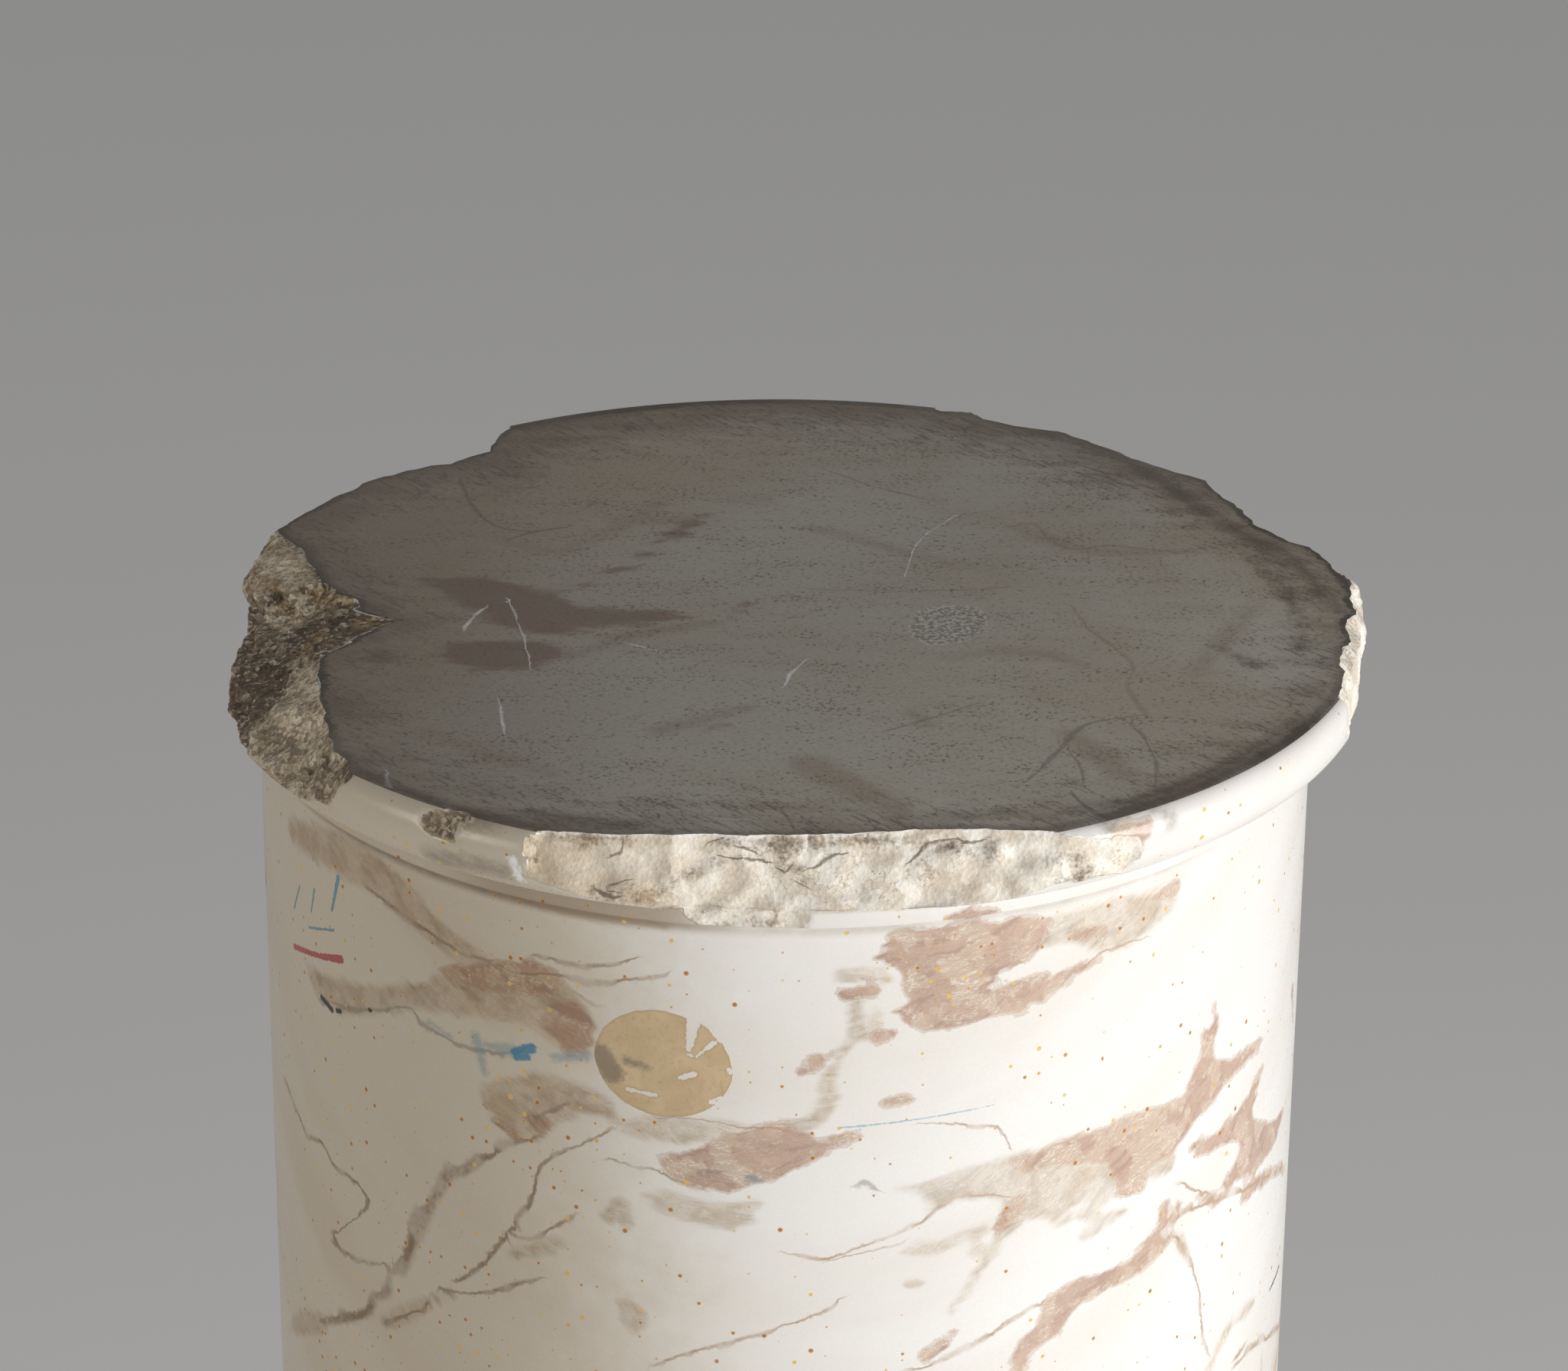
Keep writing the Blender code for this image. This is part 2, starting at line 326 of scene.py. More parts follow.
def lower_profile():
    """Rest of the shaft and the foot, as (radius, drop)."""
    top = HEIGHT - FOOT_FILLET_HEIGHT - FOOT_HOLLOW_HEIGHT
    span = top - SHOWN_SHAFT_DROP
    points = []
    for k in range(LOWER_SHAFT_STEPS):
        points.append((SHAFT_RADIUS, SHOWN_SHAFT_DROP + span * (k + 1) / LOWER_SHAFT_STEPS))
    for turn in arc(FOOT_HOLLOW_STEPS, 0, 90):
        radius = SHAFT_RADIUS + (FOOT_RADIUS - SHAFT_RADIUS) * (1 - math.cos(turn))
        points.append((radius, top + FOOT_HOLLOW_HEIGHT * math.sin(turn)))
    points.append((FOOT_RADIUS, HEIGHT - FOOT_ARRIS))
    points.append((FOOT_RADIUS - FOOT_ARRIS, HEIGHT))
    return points


def at_azimuth(radius, drop, azimuth):
    """Place beside the column's axis, with heights counted from the bed."""
    turn = math.radians(azimuth)
    return Vector((radius * math.sin(turn), -radius * math.cos(turn), -drop))


def breaks_at(azimuth):
    """Breaks near an azimuth."""
    return [
        broken for broken in BREAKS
        if broken.corners[0][0] - WOBBLE_TURN < azimuth < broken.corners[-1][0] + WOBBLE_TURN
    ]


def bed_edge(azimuth, breaks_here):
    """Radius at which the bed meets the first broken face."""
    nearest = WHOLE_EDGE_RADIUS
    for broken in breaks_here:
        pair = break_at(broken.corners, azimuth)
        if pair:
            edge = BED_EDGE_RADIUS - pair[0]
            outward = math.sin(math.radians(pair[1]))
            relief = relief_at(at_azimuth(edge, 0, azimuth), broken) * min(EDGE_EASE * outward, 1.0)
            nearest = min(nearest, edge + relief / outward)
    return max(nearest, CORE_RADIUS + CORE_MARGIN)


def cut_back(radius, drop, azimuth, breaks_here, edge_here):
    """Move a point of the whole profile towards the core until it lies on the deepest break.

    Gives the new radius and drop, how far the old point stands above the break, and the break's dirt.
    """
    keep = 1.0
    highest = NO_BREAK
    soil = 0.0
    run = max(radius - edge_here, 0.0) + drop
    swing = WOBBLE_TURN * min(run / WOBBLE_RUN, 1.0)
    turned = azimuth + swing * noise.noise(at_azimuth(radius, drop, azimuth) / WOBBLE_SIZE)
    for broken in breaks_here:
        pair = break_at(broken.corners, turned)
        if not pair:
            continue
        outward = math.sin(math.radians(pair[1]))
        upward = math.cos(math.radians(pair[1]))
        edge = BED_EDGE_RADIUS - pair[0]
        above = (radius - edge) * outward - drop * upward
        if above < NEAR_BREAK:
            continue
        core_above = (CORE_RADIUS - edge) * outward - CORE_DEPTH * upward
        reach = min(-core_above / (above - core_above), 1.0)
        hit = at_azimuth(CORE_RADIUS + (radius - CORE_RADIUS) * reach, drop * reach, azimuth)
        relief = relief_at(hit, broken) * min(EDGE_EASE * outward + run / EASE_RUN, 1.0)
        share = (relief - core_above) / (above - core_above)
        if above - relief > highest:
            highest = above - relief
        if share < keep:
            keep = share
            soil = soil_at(hit, broken)
    new_radius = CORE_RADIUS + (radius - CORE_RADIUS) * keep
    new_drop = CORE_DEPTH + (drop - CORE_DEPTH) * keep
    return new_radius, new_drop, highest, soil


def column_azimuths():
    """Azimuths of the mesh's columns in degrees, an even number of them."""
    azimuths = []
    for start, end, step in COLUMN_ZONES:
        count = round((end - start) / step)
        azimuths += [start + (end - start) * k / count for k in range(count)]
    if len(azimuths) % 2:
        azimuths.pop()
    return azimuths


def fine_column(azimuth, profile):
    """Fine rings of one column: x, y, z, height above the break, dirt and distance from the bed's edge."""
    breaks_here = breaks_at(azimuth if azimuth <= 180 else azimuth - 360)
    edge = bed_edge(azimuth, breaks_here)
    inner = INNER_BED_RADIUS
    inner_count = round((CORE_RADIUS - inner) / BED_RING_STEP) - 1
    rings = [(inner + BED_RING_STEP * (k + 1), 0.0) for k in range(inner_count)]
    start = rings[-1][0]
    rings += [(start + (edge - start) * (k + 1) / BED_EDGE_STEPS, 0.0) for k in range(BED_EDGE_STEPS)]
    bed_count = len(rings)
    rings += [(edge + (BED_EDGE_RADIUS - edge) * (k + 1) / FACE_STEPS, 0.0) for k in range(FACE_STEPS)]
    rings += profile
    rows = []
    for number, (radius, drop) in enumerate(rings):
        highest, soil = NO_BREAK, 0.0
        if breaks_here and drop <= COLLAR_HEIGHT and radius > CORE_RADIUS:
            moved = cut_back(radius, drop, azimuth, breaks_here, edge)
            highest, soil = moved[2], moved[3]
            if number >= bed_count:
                radius, drop = moved[0], moved[1]
            elif number == bed_count - 1 and edge < WHOLE_EDGE_RADIUS:
                highest = 0.0
        place = at_azimuth(radius, drop, azimuth)
        shift = COLLAR_SHIFT if drop < COLLAR_HEIGHT else 0.0
        inset = edge - radius if number < bed_count else 0.0
        rows.append((place.x + shift, place.y, HEIGHT + place.z, highest, soil, inset))
    return rows


def plain_ring(radius, drop, azimuths):
    """A ring without breaks."""
    shift = COLLAR_SHIFT if drop < COLLAR_HEIGHT else 0.0
    places = [at_azimuth(radius, drop, azimuth) for azimuth in azimuths]
    return [(place.x + shift, place.y, HEIGHT + place.z, NO_BREAK, 0.0, CORE_RADIUS) for place in places]


def stitch(upper, lower):
    """Faces between two rings of point numbers, one of which may have half as many points."""
    faces = []
    count = min(len(upper), len(lower))
    for i in range(count):
        j = (i + 1) % count
        if len(upper) == len(lower):
            faces.append((upper[i], lower[i], lower[j], upper[j]))
        elif len(upper) > len(lower):
            faces.append((upper[2 * i], lower[i], lower[j], upper[2 * j], upper[2 * i + 1]))
        else:
            faces.append((upper[i], lower[2 * i], lower[2 * i + 1], lower[2 * j], upper[j]))
    return faces


def column_rings():
    """Rings of the whole column from the bed's middle to the underside, as lists of rows."""
    azimuths = column_azimuths()
    every_second = azimuths[::2]
    profile = whole_profile()
    inner_count = round(INNER_BED_RADIUS / BED_RING_STEP)
    rings = [plain_ring(BED_RING_STEP * (k + 1), 0.0, every_second) for k in range(inner_count)]
    columns = [fine_column(azimuth, profile) for azimuth in azimuths]
    rings += [list(ring) for ring in zip(*columns)]
    rings += [plain_ring(radius, drop, every_second) for radius, drop in lower_profile()]
    return rings


# Soft patches, drawn in the photograph's pixels: an outline has two numbers a point, and a band has
# three, the last of them its half width
SHAFT_MAUVE = [
    [(575, 1268), (638, 1260), (693, 1257), (726, 1273), (737, 1294), (699, 1298), (644, 1295),
     (594, 1287)],
    [(721, 1314), (753, 1309), (773, 1336), (773, 1369), (742, 1375), (723, 1358), (710, 1336)],
    [(1146, 1253), (1163, 1226), (1182, 1216), (1236, 1212), (1330, 1199), (1371, 1204), (1367, 1228),
     (1338, 1255), (1304, 1272), (1286, 1298), (1304, 1294), (1330, 1282), (1374, 1273), (1405, 1262),
     (1444, 1248), (1400, 1280), (1369, 1294), (1362, 1308), (1333, 1323), (1301, 1325), (1270, 1335),
     (1236, 1347), (1204, 1345), (1185, 1338), (1170, 1325), (1192, 1311), (1185, 1294), (1180, 1272)],
    [(860, 1514), (888, 1510), (916, 1500), (951, 1486), (986, 1475), (1028, 1472), (1074, 1486),
     (1126, 1480), (1109, 1493), (1074, 1510), (1049, 1524), (1021, 1538), (996, 1545), (972, 1549),
     (951, 1559), (926, 1554), (881, 1538)],
    [(1045, 1401, 6), (1065, 1390, 8), (1085, 1382, 4)],
    [(1231, 1192, 6), (1262, 1188, 9), (1291, 1184, 5)], [(1105, 1298, 8), (1140, 1292, 10)],
    [(1148, 1358, 9), (1168, 1352, 5)],
    [(1148, 1446), (1163, 1434), (1180, 1431), (1194, 1438), (1174, 1442)],
    [(636, 1451, 5), (672, 1483, 5)], [(696, 1466, 9), (712, 1472, 8)],
    [(1384, 1497), (1453, 1471), (1492, 1456), (1548, 1436), (1557, 1410), (1566, 1393), (1574, 1375),
     (1572, 1349), (1585, 1341), (1587, 1312), (1594, 1341), (1583, 1367), (1588, 1388), (1613, 1384),
     (1635, 1369), (1661, 1351), (1631, 1386), (1600, 1416), (1583, 1442), (1561, 1464), (1535, 1505),
     (1496, 1531), (1466, 1553), (1448, 1518), (1383, 1518), (1340, 1531), (1323, 1518)],
    [(1557, 1497), (1592, 1479), (1618, 1453), (1631, 1436), (1640, 1414), (1650, 1397), (1644, 1427),
     (1637, 1453), (1644, 1471), (1661, 1469), (1678, 1449), (1668, 1488), (1657, 1510), (1640, 1531),
     (1618, 1540), (1600, 1562), (1587, 1575), (1566, 1566), (1592, 1557), (1609, 1531), (1622, 1505),
     (1620, 1488), (1600, 1493), (1579, 1508), (1553, 1510)],
    [(1681, 1518), (1657, 1531), (1640, 1540), (1626, 1557), (1620, 1580), (1644, 1553), (1661, 1538),
     (1681, 1529)],
    [(1470, 1556, 8), (1490, 1546, 8)], [(1401, 1222, 5), (1430, 1220, 7), (1443, 1215, 4)],
    [(1510, 1170, 4), (1536, 1160, 6)], [(1541, 1575, 5), (1531, 1597, 5)],
    [(1523, 1580, 6), (1518, 1606, 8), (1500, 1628, 9), (1487, 1642, 10)],
    [(1531, 1608), (1518, 1622), (1496, 1631), (1470, 1653), (1448, 1662), (1418, 1670), (1392, 1683),
     (1366, 1701), (1368, 1714), (1357, 1731), (1340, 1744), (1327, 1766), (1318, 1792), (1334, 1792),
     (1349, 1766), (1366, 1753), (1383, 1744), (1396, 1722), (1414, 1701), (1440, 1688), (1466, 1675),
     (1488, 1662), (1514, 1638), (1531, 1620)],
    [(1336, 1573, 6), (1318, 1590, 9), (1304, 1606, 7)],
    [(1213, 1772, 6), (1230, 1758, 6), (1255, 1730, 2)], [(1690, 1290, 5), (1690, 1370, 5)],
    [(1680, 1520, 6), (1680, 1560, 6)],
]
SHAFT_BEIGE = [
    [(808, 1700), (820, 1696), (840, 1712), (846, 1728), (830, 1742), (816, 1728)],
    [(632, 1420), (670, 1410), (700, 1400), (760, 1420), (800, 1440), (805, 1462), (770, 1455), (735, 1462),
     (715, 1478), (700, 1490), (675, 1485), (650, 1470), (635, 1450)],
    [(842, 1563), (867, 1560), (902, 1570), (950, 1575), (1000, 1570), (980, 1585), (985, 1598),
     (960, 1605), (930, 1600), (890, 1590), (860, 1580)],
    [(800, 1472), (850, 1460), (900, 1464), (960, 1470), (1010, 1478), (960, 1486), (900, 1493),
     (850, 1488)],
    [(1171, 1555), (1223, 1542), (1275, 1529), (1323, 1512), (1383, 1492), (1427, 1480), (1470, 1500),
     (1540, 1500), (1531, 1531), (1496, 1541), (1470, 1562), (1435, 1553), (1409, 1575), (1383, 1588),
     (1340, 1592), (1323, 1610), (1305, 1618), (1301, 1601), (1310, 1584), (1323, 1566), (1288, 1564),
     (1253, 1568), (1214, 1588), (1227, 1566), (1201, 1558)],
    [(1366, 1206), (1453, 1176), (1540, 1159), (1531, 1189), (1470, 1237), (1427, 1239), (1392, 1230),
     (1362, 1237)],
    [(402, 1265), (441, 1281), (490, 1292), (556, 1284), (589, 1268), (644, 1262), (693, 1257), (731, 1281),
     (764, 1309), (775, 1336), (775, 1369), (770, 1380), (742, 1375), (720, 1364), (699, 1342), (644, 1331),
     (589, 1320), (534, 1314), (490, 1320), (446, 1325), (424, 1309), (408, 1287)],
    [(383, 1085, 10), (440, 1115, 20), (500, 1150, 22), (545, 1195, 20), (590, 1230, 13), (636, 1255, 5)],
    [(1088, 1398, 5), (1081, 1419, 8), (1084, 1440, 10), (1070, 1458, 11), (1049, 1472, 9),
     (1021, 1475, 5)],
    [(1132, 1347, 5), (1110, 1366, 5), (1092, 1390, 5)],
    [(1102, 1275, 7), (1160, 1276, 8), (1120, 1310, 6), (1127, 1354, 6), (1148, 1335, 6)],
    [(1460, 1196, 4), (1500, 1172, 6), (1541, 1154, 3)], [(795, 1588, 9), (812, 1572, 6), (818, 1600, 6)],
    [(1185, 1634, 4), (1231, 1629, 6), (1266, 1615, 5), (1297, 1601, 4)],
    [(1274, 1630, 6), (1290, 1634, 4)],
    [(1304, 1606, 6), (1301, 1628, 4), (1269, 1678, 3), (1241, 1716, 2)],
    [(1380, 1600, 4), (1425, 1580, 6), (1440, 1567, 5)],
    [(1413, 1620, 3), (1440, 1600, 5), (1469, 1582, 4)],
    [(1638, 1702, 3), (1616, 1723, 5), (1599, 1748, 6), (1581, 1790, 5)],
    [(1540, 1617, 4), (1553, 1640, 4)], [(672, 1641, 4), (695, 1632, 7), (720, 1627, 6), (735, 1624, 3)],
    [(502, 1730, 5), (530, 1718, 7), (560, 1703, 6), (592, 1692, 3)],
    [(372, 1744, 3), (395, 1732, 8), (425, 1728, 6)], [(669, 1165, 5), (740, 1185, 9), (868, 1207, 7)],
    [(1188, 1680, 6), (1200, 1678, 5)],
]
COLLAR_MAUVE = [
    [(1440, 1122, 10), (1462, 1108, 20), (1488, 1092, 16), (1502, 1080, 6)],
]

# Thin veins of the shaft, in groups whose veins keep apart: pixels, then half width in pixels
SHAFT_LINES = [
    [
        [(705, 1485, 2), (666, 1496, 4), (633, 1512, 6), (606, 1530, 7), (587, 1534, 8), (576, 1554, 6),
         (562, 1578, 7), (548, 1597, 11), (532, 1636, 10), (524, 1658, 8), (513, 1663, 4), (507, 1688, 6),
         (491, 1696, 5), (477, 1713, 9), (439, 1724, 6), (420, 1727, 2)],
        [(373, 1411, 2), (384, 1441, 2), (400, 1480, 2.5), (422, 1496, 2.5), (436, 1523, 2.5),
         (452, 1534, 2.5), (471, 1554, 2.5), (482, 1573, 3.5), (463, 1592, 1.5), (433, 1617, 2),
         (463, 1644, 3), (507, 1652, 1)],
        [(1536, 1618, 4), (1553, 1640, 3.5), (1560, 1663, 2), (1569, 1699, 2), (1570, 1732, 2),
         (1580, 1769, 2)],
        [(1320, 1563, 1.5), (1290, 1562, 2), (1255, 1566, 2), (1227, 1580, 3), (1213, 1590, 3),
         (1192, 1604, 2.5), (1171, 1616, 2), (1126, 1629, 2), (1069, 1646, 2.5), (1023, 1634, 1)],
        [(1364, 1701, 2), (1308, 1734, 4), (1273, 1758, 4), (1227, 1780, 3), (1185, 1792, 2)],
        [(699, 1247, 2), (756, 1261, 3), (797, 1261, 3), (831, 1255, 2)],
        [(854, 1784, 2), (911, 1766, 3), (997, 1743, 3), (1055, 1726, 2.5), (1101, 1698, 1.5)],
    ],
    [
        [(800, 1475, 2), (765, 1493, 2), (733, 1507, 2.5), (709, 1521, 3), (700, 1538, 3.5), (691, 1575, 4),
         (674, 1597, 4), (644, 1636, 4), (617, 1663, 4), (595, 1674, 3)],
        [(1660, 1533, 2), (1571, 1573, 4), (1539, 1590, 4)],
        [(1201, 1468, 1), (1247, 1471, 2), (1304, 1474, 2), (1321, 1502, 1)],
        [(682, 1273, 2), (739, 1276, 3), (797, 1284, 3.5), (871, 1273, 2)],
        [(1083, 1650, 1.5), (1180, 1622, 1.5)], [(504, 1727, 2), (550, 1715, 3), (561, 1698, 2)],
        [(1627, 1758, 2), (1618, 1770, 4), (1613, 1776, 2)],
        [(1540, 1543, 2), (1568, 1560, 2.5), (1597, 1554, 2)],
        [(663, 1614, 1), (707, 1614, 3), (748, 1589, 3)],
    ],
    [
        [(576, 1685, 3), (611, 1691, 2), (644, 1688, 3), (672, 1680, 4), (707, 1670, 2)],
        [(796, 1514, 1), (828, 1523, 1.5), (853, 1528, 2), (867, 1537, 2), (902, 1549, 2), (926, 1554, 1)],
        [(860, 1461, 1), (916, 1465, 1.5), (951, 1472, 1.5), (986, 1475, 1.5), (1040, 1478, 1)],
        [(1683, 1726, 3), (1643, 1755, 3), (1614, 1784, 3)], [(762, 1301, 2), (779, 1313, 2)],
        [(1413, 1267, 2), (1453, 1241, 2), (1500, 1225, 1)],
        [(480, 1160, 2), (540, 1205, 3), (590, 1238, 3), (640, 1256, 2)],
    ],
    [
        [(418, 1307, 2), (481, 1322, 3), (533, 1319, 2), (550, 1336, 3), (590, 1362, 3), (624, 1372, 3),
         (659, 1378, 3), (699, 1370, 2)],
        [(923, 1531, 3), (951, 1532, 2)], [(1120, 1550, 2), (1130, 1545, 4), (1146, 1555, 3)],
        [(700, 1460, 2), (720, 1452, 3), (738, 1442, 2)],
    ],
]

# Soft patches and thin marks of the bed
BED_MAUVE = [
    [(548, 756), (605, 752), (660, 760), (740, 775), (752, 792), (850, 800), (920, 806), (850, 812),
     (760, 826), (700, 829), (650, 815), (600, 795)],
    [(576, 842), (640, 836), (700, 838), (740, 846), (736, 862), (690, 874), (620, 875), (585, 868)],
    [(826, 743, 5), (850, 715, 8), (890, 695, 10), (929, 668, 5)], [(951, 811, 3), (976, 789, 5)],
    [(915, 960, 5), (950, 948, 6), (997, 936, 4)], [(760, 765, 4), (800, 745, 5), (826, 738, 5)],
    [(430, 905, 6), (450, 940, 9)], [(470, 800, 5), (500, 850, 14), (480, 880, 8)],
]
BED_BROWN = [
    [(430, 840, 14), (520, 810, 12), (560, 790, 6)],
    [(640, 700, 8), (720, 720, 12), (790, 700, 10), (860, 660, 8)],
    [(740, 860, 8), (830, 830, 12), (930, 815, 8)], [(1060, 690, 8), (1150, 712, 10), (1260, 742, 6)],
    [(1240, 860, 10), (1330, 850, 12), (1420, 870, 8)], [(560, 960, 12), (640, 985, 14), (720, 1010, 10)],
    [(930, 655, 3), (1004, 654, 6)], [(800, 682, 8), (890, 680, 8)],
    [(500, 640, 6), (620, 650, 10), (720, 615, 8)], [(1190, 930, 10), (1210, 945, 10)],
    [(1330, 690, 8), (1420, 720, 12), (1560, 722, 6)], [(1400, 960, 20), (1470, 1010, 24)],
    [(1560, 880, 12), (1640, 790, 10)], [(860, 955, 14), (980, 925, 8)],
    [(1060, 1000, 30), (1180, 1060, 20)],
]
BED_LINES = [
    [
        [(1160, 955, 1.5), (1212, 940, 2.5), (1282, 918, 1)],
        [(1341, 1022, 2), (1380, 985, 5), (1423, 946, 3), (1493, 935, 1.5)],
        [(972, 1040, 1.5), (1021, 1059, 2), (1042, 1091, 2)],
        [(1082, 615, 1), (1150, 638, 1.5), (1223, 655, 1.5)], [(665, 705, 2), (700, 695, 3), (744, 689, 2)],
    ],
    [
        [(1471, 940, 2), (1497, 966, 2.5), (1510, 992, 2.5), (1511, 1029, 2)],
        [(1395, 977, 1.5), (1411, 1000, 2), (1418, 1025, 2)],
        [(1400, 1036, 2), (1425, 1060, 3), (1452, 1074, 3)],
        [(600, 625, 2), (620, 665, 3), (655, 690, 3), (705, 695, 1)],
    ],
    [
        [(1400, 792, 2), (1426, 824, 3), (1460, 848, 3), (1482, 874, 3), (1473, 896, 3), (1489, 922, 4),
         (1500, 937, 3)],
        [(1319, 689, 2), (1352, 685, 3), (1374, 707, 3), (1408, 718, 3), (1448, 713, 3), (1522, 720, 3),
         (1589, 722, 2)],
        [(1060, 770, 2), (1200, 772, 3), (1319, 768, 2)],
    ],
    [
        [(608, 821, 2), (620, 805, 2.5), (638, 793, 1)],
        [(665, 784, 1.2), (680, 820, 1.5), (690, 850, 1.5), (694, 875, 1)],
        [(654, 914, 1), (655, 940, 1.5), (660, 960, 1)], [(1026, 896, 1.5), (1035, 880, 2), (1054, 861, 1)],
        [(1182, 755, 1), (1201, 707, 1.2), (1249, 674, 1)], [(505, 1008, 2), (507, 1030, 3)],
        [(826, 842, 2), (861, 850, 2)],
    ],
]

# Dirt, fresh bruises and rusty places on the collar, the bed and the shaft
COLLAR_DIRT = [
    [(579, 1070, 6), (609, 1078, 8), (639, 1087, 5)], [(560, 1122, 8), (610, 1134, 12), (660, 1142, 8)],
    [(1452, 1064, 5), (1453, 1084, 4)], [(1521, 1060, 4), (1532, 1074, 4)],
    [(1360, 1112, 5), (1392, 1122, 10), (1432, 1138, 6)], [(806, 1150, 8), (850, 1172, 12)],
]
BED_DIRT = [
    [(600, 1060, 10), (700, 1078, 9), (860, 1086, 5)], [(448, 985, 8), (480, 1012, 8), (560, 1045, 7)],
    [(366, 692, 8), (400, 720, 9), (430, 770, 10), (500, 800, 8)],
    [(1400, 1062, 8), (1500, 1042, 12), (1600, 1003, 12), (1700, 945, 9)],
    [(660, 560, 8), (900, 530, 6), (1100, 528, 5)],
    [(1300, 552, 6), (1450, 592, 10), (1600, 684, 12), (1690, 735, 10), (1750, 800, 8)],
    [(1304, 1058, 5), (1309, 1054, 5)], [(690, 1062, 12), (760, 1072, 14), (830, 1080, 10)],
    [(1590, 845, 6), (1640, 870, 8)], [(1640, 730, 9), (1690, 790, 8), (1700, 850, 5)],
]
BED_BRUISE = [
    [(1187, 828), (1196, 800), (1230, 790), (1280, 794), (1295, 806), (1286, 828), (1250, 842),
     (1210, 844)],
]
COLLAR_PALE = [
    [(1356, 1090, 8), (1376, 1088, 10)], [(669, 1125, 5), (676, 1154, 5)], [(868, 1204, 5), (898, 1210, 5)],
]
FACE_DIRT = [
    [(308, 864), (350, 864), (375, 883), (359, 915), (321, 947), (305, 909)],
    [(378, 829), (420, 819), (468, 797), (493, 813), (448, 838), (410, 858), (382, 858)],
    [(372, 692, 5), (395, 708, 6), (412, 724, 7), (428, 742, 6), (421, 756, 4)],
    [(407, 1008, 6), (440, 1006, 7), (462, 1004, 6)], [(662, 1110, 5), (668, 1130, 7), (664, 1148, 6)],
    [(686, 1096, 5), (696, 1120, 3), (690, 1140, 5)], [(700, 1094, 3), (760, 1097, 4), (820, 1097, 3)],
    [(941, 1096, 6), (975, 1098, 9), (1010, 1102, 10), (1050, 1104, 10), (1085, 1102, 8), (1117, 1098, 6)],
    [(1028, 1128, 7), (1045, 1136, 5), (1050, 1150, 3)],
    [(862, 1166, 3), (880, 1157, 4), (895, 1148, 4), (918, 1138, 3), (936, 1128, 2)],
    [(909, 1198, 3), (924, 1190, 4), (942, 1187, 3)],
    [(780, 1165, 5), (798, 1169, 5), (812, 1173, 4), (840, 1170, 6), (862, 1172, 6)],
    [(870, 1205, 3), (920, 1208, 4), (1000, 1208, 4), (1015, 1195, 3)],
    [(1100, 1095, 5), (1144, 1099, 6), (1185, 1100, 3)],
    [(1217, 1106, 4), (1260, 1107, 5), (1300, 1110, 4)],
    [(1208, 1125, 2), (1211, 1140, 2), (1200, 1151, 1)],
    [(1370, 1128, 2), (1400, 1122, 3), (1415, 1130, 2)],
    [(1380, 1153, 2), (1399, 1151, 5), (1425, 1140, 7), (1440, 1136, 4)],
]
FACE_PALE = [
    [(345, 800), (375, 780), (400, 774), (412, 795), (398, 820), (372, 826), (350, 815)],
    [(359, 931), (375, 921), (397, 931), (426, 937), (429, 956), (397, 966), (365, 956)],
    [(408, 880, 3), (420, 910, 4), (426, 930, 3)], [(345, 745, 5), (370, 735, 7), (392, 742, 5)],
    [(1356, 1096, 6), (1368, 1092, 10), (1380, 1092, 7)], [(850, 1093, 2), (890, 1093, 3), (940, 1093, 2)],
    [(664, 1150, 2), (690, 1158, 2)], [(872, 1203, 3), (900, 1207, 2)],
]
FACE_RUST = [
    [(410, 776, 5), (430, 784, 7), (455, 782, 5)], [(470, 815, 3), (490, 810, 3), (500, 802, 3)],
    [(345, 757, 6), (358, 764, 5)], [(420, 830, 4), (400, 850, 4)], [(822, 1172, 4), (850, 1171, 5)],
    [(900, 1148, 2), (922, 1137, 2)], [(1100, 1102, 3), (1130, 1110, 4)],
]
# Cracks of the broken faces, in the groups of the thin lines
FACE_LINES = [
    [
        [(798, 1117, 1), (807, 1113, 1.5), (813, 1110, 1.5), (815, 1099, 1.5)],
        [(936, 1117, 1), (956, 1123, 1.5), (977, 1122, 1.5), (997, 1125, 1.5), (1011, 1130, 1)],
        [(1056, 1135, 1), (1065, 1132, 1.5), (1074, 1122, 2), (1085, 1117, 1.5), (1109, 1115, 1)],
        [(1185, 1128, 1), (1203, 1113, 2), (1216, 1102, 2), (1232, 1100, 2), (1264, 1099, 1.5),
         (1290, 1096, 1)],
        [(359, 915, 2), (340, 935, 3), (325, 951, 3)],
        [(1040, 1152, 1), (1050, 1160, 1.5), (1058, 1163, 1)],
    ],
    [
        [(962, 1105, 1), (977, 1107, 1.5), (991, 1116, 1)],
        [(1016, 1134, 1), (1027, 1141, 2), (1037, 1130, 1)],
        [(924, 1106, 1), (936, 1099, 1.5), (946, 1093, 1)], [(801, 1157, 1.5), (824, 1151, 1.5)],
        [(780, 1164, 2), (800, 1172, 2.5), (812, 1173, 1)], [(382, 792, 1), (420, 820, 2), (440, 815, 1)],
        [(450, 858, 1.5), (480, 838, 2), (520, 818, 1)],
    ],
    [],
    [],
]
